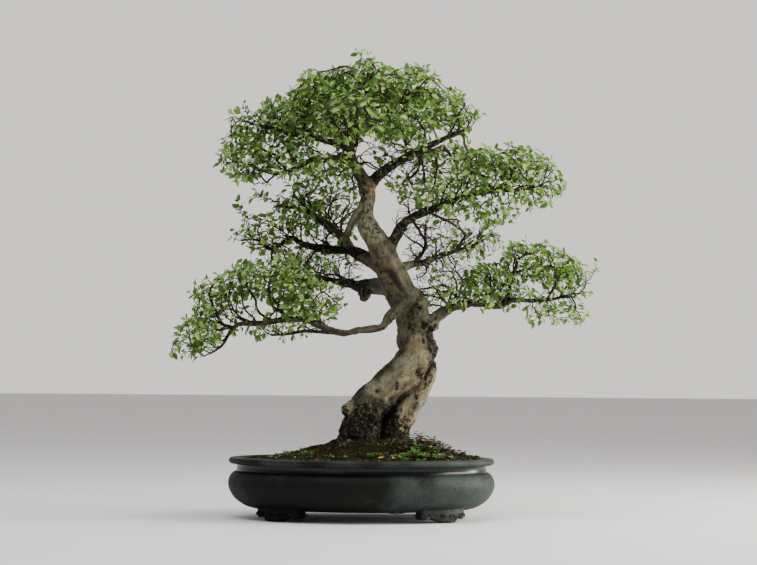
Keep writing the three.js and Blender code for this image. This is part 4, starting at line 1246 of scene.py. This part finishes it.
def limb_grain(places):
    """For each place, noise drawn out along its nearest limb, its turn round it, and that limb's number."""
    centres, asides, ups, alongs, owners = [], [], [], [], []
    for owner, stations in enumerate([TRUNK, SECOND_STEM, *ROOTS, *LIMBS.values()]):
        line = smooth_line(stations, ring_count(stations, GRAIN_SPACING))[:, :3]
        aside, up = lengthwise(line)
        centres.extend(line)
        asides.extend(aside)
        ups.extend(up)
        alongs.extend(np.arange(len(line)) * GRAIN_SPACING)
        owners.extend([owner] * len(line))
    tree = kdtree.KDTree(len(centres))
    for index, centre in enumerate(centres):
        tree.insert(centre, index)
    tree.balance()
    grain, turns, limbs = (np.zeros(len(places)) for _ in range(3))
    for index, place in enumerate(places):
        _, station, _ = tree.find(place)
        away = place - centres[station]
        turn = math.atan2(away.dot(ups[station]), away.dot(asides[station]))
        along = alongs[station] + away.dot(np.cross(asides[station], ups[station]))
        limbs[index] = owners[station]
        spot = Vector((1.5 * math.cos(turn), 1.5 * math.sin(turn), along / 34 + 9 * owners[station]))
        grain[index] = 0.5 + 0.42 * noise.fractal(spot, 0.75, 2.2, 5)
        turns[index] = turn + along * RIDGE_TWIST
    return np.clip(grain, 0, 1), turns, limbs


def plate_cracks(places):
    """How deep in the cracks between the bark's plates each place lies, 0 to 1."""
    crack = np.zeros(len(places))
    for index, place in enumerate(places):
        spot = Vector(place)
        warped = spot / 13 + 0.8 * noise.noise_vector(spot / 19)
        warped.z *= 0.4
        distances, _ = noise.voronoi(warped)
        crack[index] = max(0.0, 1 - (distances[1] - distances[0]) / 0.15)
    return crack


def stripe_shade(places):
    """How strongly the dark stripe lies on each place."""
    x, y, z = places.T
    off = (x - STRIPE_MIDDLE[0]) * STRIPE_ACROSS[0] + (z - STRIPE_MIDDLE[1]) * STRIPE_ACROSS[1]
    return ease(np.abs(off), *STRIPE_FADE) * ease(z, *STRIPE_FOOT) * ease(z, *STRIPE_TOP) * (y < 0)


def stem_cleft(places, second):
    """How deep in the cleft between trunk and second stem each place lies, 0 to 1."""
    first = distance_to_line(places, TRUNK[:CLEFT_STATIONS])
    between = np.maximum(first, 0) ** 2 + np.maximum(second, 0) ** 2
    low, high = CLEFT_HEIGHTS
    return np.exp(-between / CLEFT_WIDTH ** 2) * (places[:, 2] < high) * (places[:, 2] > low)


def bark_relief(places, second, plate_depth, turns, limbs):
    """How far each place of bark is pushed out, and how dark it is in its cracks and the dark stripe, with
    painted shade in its hollows, knob dips, pits, grooves and cleft.
    """
    crack = plate_cracks(places)
    broad = noise_at(places * (1, 1, 0.4), 26, 4)
    knobs = paint(places, KNOBBY_BARK) * noise_at(places, 9, 2)
    push = BROAD_SWELL * broad + FINE_SWELL * noise_at(places, 6) + KNOB_SWELL * knobs
    cleft = stem_cleft(places, second)
    smooth = paint(places, SMOOTH_BARK)
    crack *= np.clip(0.8 + 1.4 * broad, 0, 1) * (1 - 0.85 * smooth)
    push = push * (1 - 0.45 * smooth) - plate_depth * crack - CLEFT_DEPTH * cleft
    for spot, radius, depth in HOLLOWS:
        dip = np.exp(-(np.linalg.norm(places - spot, axis=1) / radius) ** 2)
        push -= depth * dip
        # Darker in the hollows: painted shade.
        crack = np.maximum(crack, dip)
    # Darker in the dips between the knobs: painted shade.
    crack = np.maximum(crack, 0.8 * ease(knobs, -0.12, -0.45))
    pits = paint(places, PITTED_BARK) * ease(noise_at(places, 5.5, 2), 0.12, 0.42)
    push -= PIT_DEPTH * pits
    # Darker in the pits: painted shade.
    crack = np.maximum(crack, 0.95 * pits)
    broken = np.clip(0.7 + 1.3 * broad + 0.3 * noise_at(places, 7), 0, 0.9)
    crack = np.maximum(crack, stripe_shade(places) * broken)
    ring = np.abs(np.linalg.norm(places - np.array(SCAR), axis=1) - SCAR_RADIUS)
    push += SCAR_SWELL * np.exp(-(ring / 2.2) ** 2)
    ridged = np.isin(limbs, RIDGED_LIMBS)
    groove = ease(np.sin(3 * turns), 0.25, 0.95) * ridged
    push -= GROOVE_DEPTH * groove
    # Darker in the grooves of the ridged limbs: painted shade.
    crack = np.maximum(crack * (1 - ridged), 0.62 * groove)
    # Darker in the cleft between trunk and second stem: painted shade.
    return push, np.clip(np.maximum(crack, 1.1 * cleft), 0, 1)


def paint(places, spots):
    """Strongest of the soft round spots at each place, given as x, y, z, radius and strength."""
    total = np.zeros(len(places))
    for x, y, z, radius, strength in spots:
        total = np.maximum(total, strength * near(places, (x, y, z), radius))
    return total


def weather_bark(piece, settings):
    """Sinks cracks and hollows into the bark and marks where it is bare, crusty or rusty, and where it is
    dark in its cracks or with painted shade in its recesses.
    """
    mesh = piece.data
    places = tree_places(mesh)
    grain, turns, limbs = limb_grain(places)
    second = distance_to_line(places, SECOND_STEM)
    push, crack = bark_relief(places, second, settings.plate_depth / MM, turns, limbs)
    moved = places + read_corners(mesh, "normal") * push[:, None]
    mesh.vertices.foreach_set("co", (moved * MM + np.array(POT_MIDDLE)).ravel())
    x, _, z = places.T
    wave = noise_at(places, 17, 4)
    smooth = paint(places, SMOOTH_BARK)
    bare = np.maximum(smooth, paint(places, PALE_BARK))
    crust = 0.3 + paint(places, CRUSTY_BARK) - 0.22 * np.maximum(smooth, paint(places, PITTED_BARK))
    on_second = ease(second, 6, 0) * ease(x, *STEM_SIDE) * (z < STEM_TOP)
    bare = np.maximum(bare, 0.9 * on_second)
    damp = np.where(on_second > 0.5, STEM_DAMP_HEIGHT + 26 * wave, DAMP_HEIGHT + 22 * wave)
    knob = near(places, BURLS[0][0], 17)
    base = ease(z, damp + 7, damp - 9) * (1 - knob)
    dark_limbs = np.zeros(len(places))
    for name in DARK_LIMBS:
        dark_limbs = np.maximum(dark_limbs, ease(distance_to_line(places, LIMBS[name][1:]), 5, 1))
    crust = np.maximum(crust, 0.85 * dark_limbs)
    bare *= 1 - dark_limbs
    crust = np.where(base > 0.02, np.maximum(crust, 1.1 * base), crust)
    warm = paint(places, RUSTY_BARK) * np.clip(0.7 + wave, 0, 1)
    warm = np.maximum(warm, 0.18 * on_second)
    crust, bare = np.clip(crust, 0, 1.1), np.clip(bare, 0, 1)
    set_values(mesh, crack=crack, moss=crust, bare=bare, warm=warm, grain=grain)


class BONSAI_OT_trunk(bpy.types.Operator):
    """Joins the trunk, the fused second stem, roots, burls and thick limbs into one body of bark"""

    bl_idname = "bonsai.trunk"
    bl_label = "Trunk"

    def execute(self, context):
        settings = context.scene.bonsai_wood
        pile = Pile()
        add_limb(pile, TRUNK[:TRUNK_THICK], 64, THICK_SPACING, depth=0.13, seed=1)
        add_limb(pile, SECOND_STEM, 48, THICK_SPACING, depth=0.16, seed=11)
        for index, root in enumerate(ROOTS):
            add_limb(pile, root, 24, THICK_SPACING, depth=0.3, seed=20 + index)
        for index, (name, stations) in enumerate(LIMBS.items()):
            twist, depth = (0.05, 0.3) if name in TWISTED else (LIMB_TWIST, 0.16)
            add_limb(pile, split_limb(stations)[0], 28, THICK_SPACING, depth, 40 + index, twist)
        for index, (place, size) in enumerate(BURLS):
            pile.add(*lump(place, size, detail=4, rough=0.35, seed=index), grain=0.5)
        material = bark_material("elm_bark", settings.pale, settings.dark)
        trunk = pile.build("trunk_bark", material)
        join = trunk.modifiers.new("join", "REMESH")
        join.mode = "VOXEL"
        join.voxel_size = settings.voxel
        join.use_smooth_shade = True
        even = trunk.modifiers.new("even", "SMOOTH")
        even.iterations = 3
        even.factor = 0.5
        apply_modifiers(trunk)
        weather_bark(trunk, settings)
        trunk.data.polygons.foreach_set("use_smooth", [True] * len(trunk.data.polygons))
        settle(trunk, "bark", "wood")
        thin = Pile()
        skin = {"bare": 0.1, "crack": 0.15, "warm": 0.0}
        add_limb(thin, TRUNK[TRUNK_THIN:], 12, THIN_SPACING, depth=0.12, seed=2, moss=0.5, **skin)
        for index, stations in enumerate(LIMBS.values()):
            rest = split_limb(stations)[1]
            if len(rest) > 1:
                add_limb(thin, rest, 12, THIN_SPACING, depth=0.2, seed=60 + index, moss=0.55, **skin)
        # Both colours are darker than the branches' own bark: partly painted shade for branches that lie
        # inside the pads.
        branch_bark = bark_material("branch_bark", colour(84, 77, 62), colour(30, 26, 20))
        settle(thin.build("branches", branch_bark), "bark")
        return {"FINISHED"}


# Twigs and leaves

# How close twigs may start on a limb, how thick a limb may be that bears them, how far a side branch
# grows before it has to lie in a clump, and how far apart its own side branches start
START_SPACING = 25
BEARING_RADIUS = 10.5
FREE_LENGTH = 30
SIDE_SPACING = 19
# How much a twig wanders at each step, and the most steps that a round of growth takes
TWIG_WANDER = 0.45
GROWTH_STEPS = 80
# Marks a node that nothing grows from
CLOSED = 9
# A twig's least radius, the power by which twigs add up, and the thickest that bears leaves
TIP_RADIUS = 0.62
RADIUS_POWER = 2.45
LEAFY_TWIG = 0.95


def limb_nodes():
    """Places along every limb where twigs may start, with the limb's direction and radius there."""
    nodes = []
    for stations in [TRUNK[TRUNK_TWIGS:], *LIMBS.values()]:
        line = smooth_line(stations, ring_count(stations, START_SPACING))
        ahead = np.gradient(line[:, :3], axis=0)
        for (x, y, z, radius), (a, b, c) in zip(line, ahead):
            if radius < BEARING_RADIUS:
                nodes.append((Vector((x, y, z)), Vector((a, b, c)).normalized(), radius))
    return nodes


def in_clump(place, clump):
    """Where a place lies from a clump's middle, as shares of the clump's half sizes."""
    x, y, z, half_x, half_y, half_z, _ = clump
    return Vector(((place.x - x) / half_x, (place.y - y) / half_y, (place.z - z) / half_z))


def outerness(spot):
    """How far out or up in its clump a spot lies, where 1 is at the clump's outside."""
    return max(spot.length ** 2, 0.5 + 0.5 * spot.z)


def random_vector(rng, reach=1):
    """A vector with each part drawn between minus and plus a reach."""
    return Vector([rng.uniform(-reach, reach) for _ in range(3)])


def scatter_buds(rng, spacing, shell):
    """Places that twigs grow to. shell is how much thicker they lie near the top and outside of a clump."""
    buds = []
    for clumps in PADS.values():
        for x, y, z, half_x, half_y, half_z, leafy in clumps:
            crowd = BARE_CROWD if leafy < BARE_TWIGS else max(1, leafy)
            wanted = int(crowd * 4 / 3 * math.pi * half_x * half_y * half_z / spacing ** 3)
            while wanted:
                spot = random_vector(rng)
                if spot.length > 1 or rng.random() > 1 - shell + shell * outerness(spot):
                    continue
                wanted -= 1
                buds.append(Vector((x + spot.x * half_x, y + spot.y * half_y, z + spot.z * half_z)))
    return buds


class Twigs:
    """Twigs as nodes, each with its place, direction and the node that it grows from."""

    def __init__(self, starts):
        self.places = [place for place, _, _ in starts]
        self.ways = [way for _, way, _ in starts]
        self.limits = [radius for _, _, radius in starts]
        self.parents = [-1] * len(starts)
        self.children = [0] * len(starts)

    def add(self, parent, heading, step):
        """Adds a node a step on from its parent."""
        self.places.append(self.places[parent] + heading * step)
        self.ways.append(heading.copy())
        self.parents.append(parent)
        self.children.append(0)

    def reopen(self):
        """Lets every node that isn't closed bear new twigs."""
        self.children = [count if count == CLOSED else 0 for count in self.children]

    def grow(self, buds, step, reached, momentum, rng):
        """Grows towards the buds, a step at a time, until every bud is reached."""
        for _ in range(GROWTH_STEPS):
            tree = kdtree.KDTree(len(self.places))
            for index, place in enumerate(self.places):
                tree.insert(place, index)
            tree.balance()
            pulls = {}
            left = []
            for bud in buds:
                spot, index, away = tree.find(bud)
                if away < reached:
                    continue
                left.append(bud)
                if self.children[index] < 3:
                    pulls[index] = pulls.get(index, Vector()) + (bud - spot) / away
            buds = left
            if not pulls:
                break
            for index, pull in pulls.items():
                if pull.length < 1e-3:
                    continue
                heading = pull.normalized() + momentum * self.ways[index]
                heading += TWIG_WANDER * random_vector(rng)
                if heading.length < 0.2:
                    continue
                heading.z *= 0.8
                heading.normalize()
                self.children[index] += 1
                self.add(index, heading, step)


def branch_out(twigs, start, heading, length, step, rng, order=0):
    """Grows one winding branch with smaller ones off its sides, as long as it lies near a clump."""
    index, since, side = start, 0.0, rng.choice((-1, 1))
    grown = 0.0
    while grown < length:
        heading = heading + 0.3 * random_vector(rng) + Vector((0, 0, 0.05))
        heading.normalize()
        if grown > FREE_LENGTH and clump_distance(twigs.places[index] + heading * step) > 1.02:
            break
        twigs.add(index, heading, step)
        index = len(twigs.places) - 1
        grown += step
        since += step
        if order < 2 and since > SIDE_SPACING and length - grown > 12:
            across = heading.cross(Vector((0, 0, 1))).normalized() * side
            aim = 0.75 * heading + 0.65 * across + Vector((0, 0, rng.uniform(-0.1, 0.45)))
            branch_out(twigs, index, aim.normalized(), 0.55 * (length - grown) + 12, step, rng, order + 1)
            since, side = rng.uniform(-5, 5), -side


def clump_distance(place):
    """How far a place lies from the nearest clump's middle, as a share of the clump's half size."""
    return min(in_clump(place, clump).length for clumps in PADS.values() for clump in clumps)


def grow_twigs(settings, rng):
    """Grows side branches that follow their limb and fan out, then fine twigs all along them."""
    step = settings.step / MM
    spacing = settings.spacing / MM
    starts = limb_nodes()
    twigs = Twigs(starts)
    for index, (_, way, _) in enumerate(starts):
        if clump_distance(twigs.places[index]) > 1.35:
            twigs.children[index] = CLOSED
            continue
        across = way.cross(Vector((0, 0, 1)))
        across = across.normalized() if across.length > 0.3 else Vector((1, 0, 0))
        for turn in (rng.uniform(-0.2, 0.6), math.pi - rng.uniform(-0.2, 0.6), rng.uniform(0.9, 2.2)):
            if rng.random() < 0.62:
                aim = 0.75 * way + 0.7 * (across * math.cos(turn) + Vector((0, 0, 1)) * math.sin(turn))
                branch_out(twigs, index, aim.normalized(), rng.uniform(35, 95), step, rng)
    rounds = (2.4 * spacing, 0.2, 2 * spacing, 0.9), (spacing, 0.75, 1.35 * step, 0.4)
    for room, shell, reached, momentum in rounds:
        twigs.reopen()
        twigs.grow(scatter_buds(rng, room, shell), step, reached, momentum, rng)
    return twigs.places, twigs.parents, twigs.limits


def twig_radii(places, parents, limits):
    """Radius of each node, from the tips that it carries."""
    sums = [0.0] * len(places)
    radii = [0.0] * len(places)
    for index in range(len(places) - 1, -1, -1):
        radii[index] = max(TIP_RADIUS, sums[index] ** (1 / RADIUS_POWER))
        if parents[index] >= 0:
            sums[parents[index]] += radii[index] ** RADIUS_POWER
    for index, parent in enumerate(parents):
        if 0 <= parent < len(limits):
            radii[index] = min(radii[index], 0.75 * limits[parent])
        elif parent >= 0:
            radii[index] = min(radii[index], radii[parent])
    return radii


def pad_of(place):
    """The pad whose clump lies nearest to a place, and how leafy it is there."""
    best = (1e9, "", 0)
    for name, clumps in PADS.items():
        for clump in clumps:
            spot = in_clump(place, clump)
            if spot.length < best[0]:
                best = (spot.length, name, clump[-1] * min(1, 0.42 + 0.7 * outerness(spot)))
    return best[1], best[2]


def twig_chains(parents, radii, limit):
    """Splits the twigs into unbranched runs of nodes, each from the node that it leaves."""
    kids = {}
    for index, parent in enumerate(parents):
        if parent >= 0:
            kids.setdefault(parent, []).append(index)
    starts = [(parent, kid) for parent in range(limit) for kid in kids.get(parent, [])]
    while starts:
        parent, index = starts.pop()
        run = [parent, index]
        while index in kids:
            follow = max(kids[index], key=lambda kid: radii[kid])
            starts.extend((index, kid) for kid in kids[index] if kid != follow)
            index = follow
            run.append(index)
        yield run


# One side of a leaf's toothed edge and its rib, as shares along the leaf and half its width, and its stalk
LEAF_EDGE = [
    (0.0, 0.0), (0.1, 0.28), (0.3, 0.46), (0.5, 0.5), (0.55, 0.45), (0.78, 0.37), (0.82, 0.3), (1.0, 0.0),
]
LEAF_RIB = [0.0, 0.5, 1.0]
LEAF_STALK = 0.16


def leaf_template():
    """Flat places, faces and edge shares of one toothed leaf a unit long and wide, with its stalk."""
    corners = [(-LEAF_STALK, 0.03, 0), (-LEAF_STALK, -0.03, 0)]
    across = [0.0, 0.0]
    rib = []
    for along in LEAF_RIB:
        rib.append(len(corners))
        corners.append((along, 0, 0))
        across.append(0.0)
    faces = [(0, 1, rib[0])]
    for way in (1, -1):
        edge = [rib[0]]
        for along, wide in LEAF_EDGE[1:-1]:
            edge.append(len(corners))
            corners.append((along, way * wide, 0))
            across.append(wide * 2)
        edge.append(rib[-1])
        i = j = 0
        while i < len(edge) - 1 or j < len(rib) - 1:
            step_edge = corners[edge[i + 1]][0] if i < len(edge) - 1 else 9
            step_rib = corners[rib[j + 1]][0] if j < len(rib) - 1 else 9
            if step_edge <= step_rib:
                face = (rib[j], edge[i], edge[i + 1])
                i += 1
            else:
                face = (rib[j], edge[i], rib[j + 1])
                j += 1
            if len(set(face)) == 3:
                faces.append(face if way < 0 else face[::-1])
    return np.array(corners, float), np.array(faces), np.array(across)


LEAF_CORNERS, LEAF_FACES, LEAF_ACROSS = leaf_template()
# How far a leaf folds along its rib and curls down to its tip
LEAF_FOLD = 0.32
LEAF_CURL = 0.22


def add_leaves(pile, leaves, share=0.6):
    """Adds leaves, each given as its place, heading, face, length and tint."""
    if not leaves:
        return
    spots = np.array([leaf[0] for leaf in leaves])
    ahead = np.array([leaf[1].normalized() for leaf in leaves])
    face = np.array([leaf[2] for leaf in leaves])
    face -= ahead * (face * ahead).sum(1)[:, None]
    face /= np.linalg.norm(face, axis=1)[:, None]
    side = np.cross(face, ahead)
    length = np.array([leaf[3] for leaf in leaves])[:, None, None]
    x, y = LEAF_CORNERS[:, 0], LEAF_CORNERS[:, 1] * share
    z = LEAF_FOLD * np.abs(y) - LEAF_CURL * np.maximum(x, 0) ** 2
    ahead, side, face = ahead[:, None], side[:, None], face[:, None]
    corners = ahead * x[:, None] + side * y[:, None] + face * z[:, None]
    corners = spots[:, None] + (corners + LEAF_STALK * ahead) * length
    count = len(LEAF_CORNERS)
    faces = LEAF_FACES[None] + np.arange(len(leaves))[:, None, None] * count
    pile.add(
        corners.reshape(-1, 3), [faces.reshape(-1, 3)],
        tint=np.repeat([leaf[4] for leaf in leaves], count),
        across=np.tile(LEAF_ACROSS, len(leaves)), along=np.tile(LEAF_CORNERS[:, 0], len(leaves)))


def leaf_on(places, parents, index, way, settings, rng, at_tip=False):
    """One leaf at a twig's node, on the side that way says, or straight on at its tip."""
    along = (places[index] - places[parents[index]]).normalized()
    outward = Vector((places[index].x - 20, 1.2 * places[index].y, 0))
    outward = outward.normalized() if outward.length > 1 else Vector((0, -1, 0))
    face = 0.62 * Vector((0, 0, 1)) + 0.5 * outward + random_vector(rng, 0.62)
    side = face.cross(along)
    side = side.normalized() if side.length > 1e-3 else Vector((1, 0, 0))
    turn = math.radians(rng.uniform(38, 70)) * way if not at_tip else rng.uniform(-0.3, 0.3)
    heading = along * math.cos(turn) + side * math.sin(turn) + Vector((0, 0, rng.uniform(-0.3, 0.1)))
    length = settings.leaf_length / MM * rng.choice((0.62, 0.8, 0.95, 1.05, 1.2)) * rng.uniform(0.88, 1.1)
    return places[index], heading, face, length, min(1.0, max(0.0, rng.gauss(0.5, 0.24)))


class BONSAI_OT_foliage(bpy.types.Operator):
    """Grows the fine twigs and hangs the leaves on them, pad by pad"""

    bl_idname = "bonsai.foliage"
    bl_label = "Twigs and leaves"

    def execute(self, context):
        settings = context.scene.bonsai_foliage
        rng = random.Random(settings.seed)
        places, parents, limits = grow_twigs(settings, rng)
        radii = twig_radii(places, parents, limits)
        twigs = {name: Pile() for name in PADS}
        leaves = {name: [] for name in PADS}
        for run in twig_chains(parents, radii, len(limits)):
            name, _ = pad_of(places[run[-1]])
            centres = np.array([places[index] for index in run])
            widths = np.array([radii[run[1]]] + [radii[index] for index in run[1:]])
            widths[-1] *= 0.6
            sides = 7 if widths[0] > 2.4 else 5 if widths[0] > 1.1 else 4
            twigs[name].add(
                *tube(centres, widths, sides),
                bare=0.05, moss=0.3, crack=0.1, warm=0.0, grain=rng.uniform(0.25, 0.65))
            way = rng.choice((-1, 1))
            for index in run[1:]:
                way = -way
                _, leafy = pad_of(places[index])
                if radii[index] < LEAFY_TWIG and rng.random() < leafy:
                    leaves[name].append(leaf_on(places, parents, index, way, settings, rng))
                    if index == run[-1]:
                        leaves[name].append(leaf_on(places, parents, index, way, settings, rng, at_tip=True))
        # Both colours are darker than the twigs' own bark: partly painted shade for twigs that stand dark
        # against the light.
        twig_bark = bark_material("twig_bark", colour(52, 45, 35), colour(17, 14, 10))
        greens = leaf_material("elm_leaf", (
            (0.0, colour(20, 42, 14)), (0.3, colour(46, 80, 30)), (0.52, colour(90, 130, 56)),
            (0.72, colour(152, 190, 98)), (0.96, colour(196, 214, 114))))
        replaced = {name: [] for name in PADS}
        for node in frame["nodes"]:
            if node.startswith("spray"):
                low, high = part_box(node)
                replaced[pad_of(((low + high) / 2 - POT_MIDDLE) / MM)[0]].append(node)
        for name in PADS:
            settle(twigs[name].build(f"twigs_{name}", twig_bark), "bark")
            pile = Pile()
            add_leaves(pile, leaves[name], settings.leaf_share)
            settle(pile.build(f"leaves_{name}", greens, smooth=False), "leaf", *replaced[name])
        return {"FINISHED"}


# Stage

# How far the camera stands to the right of the pot's middle and the floor reaches each way, in metres
CAMERA_ASIDE = 0.031
FLOOR_HALF = 30
# Square soft lights: name, place, width, power, the place they point at and colour
LAMPS = [
    ("window", (2.5, -0.35, 1.3), 1.6, 125, (0.1, 0, 0.4), (255, 250, 238)),
    ("side_window", (2.3, 0.56, 0.34), 0.6, 32, (0.15, 0, 0.12), (250, 252, 255)),
    ("sky", (-0.3, -0.9, 2.7), 1.8, 62, (0, 0, 0.5), (244, 248, 255)),
    ("front_glow", (-1.1, -3.3, 0.5), 0.5, 6, (0, 0, 0.3), (190, 205, 255)),
]


class BONSAI_OT_stage(bpy.types.Operator):
    """Sets the camera, the plain floor and the soft lights"""

    bl_idname = "bonsai.stage"
    bl_label = "Stage"

    def execute(self, context):
        settings = context.scene.bonsai_stage
        camera = bpy.data.objects.new("camera", bpy.data.cameras.new("camera"))
        context.scene.collection.objects.link(camera)
        camera.data.lens = settings.lens
        camera.data.sensor_width = 36
        camera.data.clip_end = 100
        camera.location = POT_MIDDLE + Vector((CAMERA_ASIDE, -settings.distance, settings.height))
        turn = Matrix.Rotation(math.pi / 2 + settings.pitch, 4, "X") @ Matrix.Rotation(settings.roll, 4, "Z")
        camera.rotation_euler = turn.to_euler()
        context.scene.camera = camera
        self.floor(context, settings)
        self.lights(context)
        return {"FINISHED"}

    def floor(self, context, settings):
        """A plain pale floor under everything."""
        material, shader = new_material("floor")
        grain = texture(material, "Noise", 3, Detail=2).outputs["Fac"]
        paler = tuple(min(1, s * 1.04) for s in settings.floor)
        shade = ramp(material, grain, (0.3, settings.floor), (0.7, paler))
        fill(material, shader.inputs["Base Color"], shade)
        shader.inputs["Roughness"].default_value = 0.7
        mesh = bpy.data.meshes.new("floor")
        corners = [(x * FLOOR_HALF, y * FLOOR_HALF, 0) for x, y in ((-1, -1), (1, -1), (1, 1), (-1, 1))]
        mesh.from_pydata(corners, [], [(0, 1, 2, 3)])
        mesh.materials.append(material)
        floor = bpy.data.objects.new("floor", mesh)
        context.scene.collection.objects.link(floor)

    def lights(self, context):
        """A pale room, brighter behind, with a large soft light at the right and gentle ones elsewhere."""
        world = bpy.data.worlds.new("room")
        context.scene.world = world
        world.use_nodes = True
        nodes, links = world.node_tree.nodes, world.node_tree.links
        back = nodes["Background"]
        back.inputs["Color"].default_value = (*colour(225, 222, 219), 1)
        place = nodes.new("ShaderNodeTexCoord")
        split = nodes.new("ShaderNodeSeparateXYZ")
        spread = nodes.new("ShaderNodeMapRange")
        spread.inputs["From Min"].default_value = -1
        spread.inputs["To Min"].default_value = 0.2
        spread.inputs["To Max"].default_value = 1.4
        links.new(place.outputs["Generated"], split.inputs["Vector"])
        links.new(split.outputs["Y"], spread.inputs["Value"])
        links.new(spread.outputs["Result"], back.inputs["Strength"])
        for name, place, width, power, aim, shade in LAMPS:
            lamp = bpy.data.objects.new(name, bpy.data.lights.new(name, "AREA"))
            context.scene.collection.objects.link(lamp)
            lamp.data.size = width
            lamp.data.energy = power
            lamp.data.color = colour(*shade)
            lamp.location = POT_MIDDLE + Vector(place)
            lamp.rotation_euler = (Vector(aim) - Vector(place)).to_track_quat("-Z", "Y").to_euler()


class BONSAI_PT_panel(bpy.types.Panel):
    """Lists the steps that dress the tree"""

    bl_label = "Bonsai"
    bl_idname = "BONSAI_PT_panel"
    bl_space_type = "VIEW_3D"
    bl_region_type = "UI"
    bl_category = "Bonsai"

    def draw(self, context):
        for name in STEPS:
            self.layout.operator("bonsai." + name)


STEPS = ["stage", "pot", "fittings", "soil", "ground_cover", "trunk", "foliage"]
SETTINGS = {
    "bonsai_pot": PotSettings,
    "bonsai_soil": SoilSettings,
    "bonsai_wood": WoodSettings,
    "bonsai_foliage": FoliageSettings,
    "bonsai_stage": StageSettings,
}
CLASSES = [
    *SETTINGS.values(), BONSAI_OT_stage, BONSAI_OT_pot, BONSAI_OT_fittings, BONSAI_OT_soil,
    BONSAI_OT_ground_cover, BONSAI_OT_trunk, BONSAI_OT_foliage, BONSAI_PT_panel,
]


def register():
    for made in CLASSES:
        bpy.utils.register_class(made)
    for name, kind in SETTINGS.items():
        setattr(bpy.types.Scene, name, bpy.props.PointerProperty(type=kind))


def unregister():
    for name in SETTINGS:
        delattr(bpy.types.Scene, name)
    for made in reversed(CLASSES):
        bpy.utils.unregister_class(made)


def main():
    register()
    for name in STEPS:
        getattr(bpy.ops.bonsai, name)()


if __name__ == "__main__":
    main()
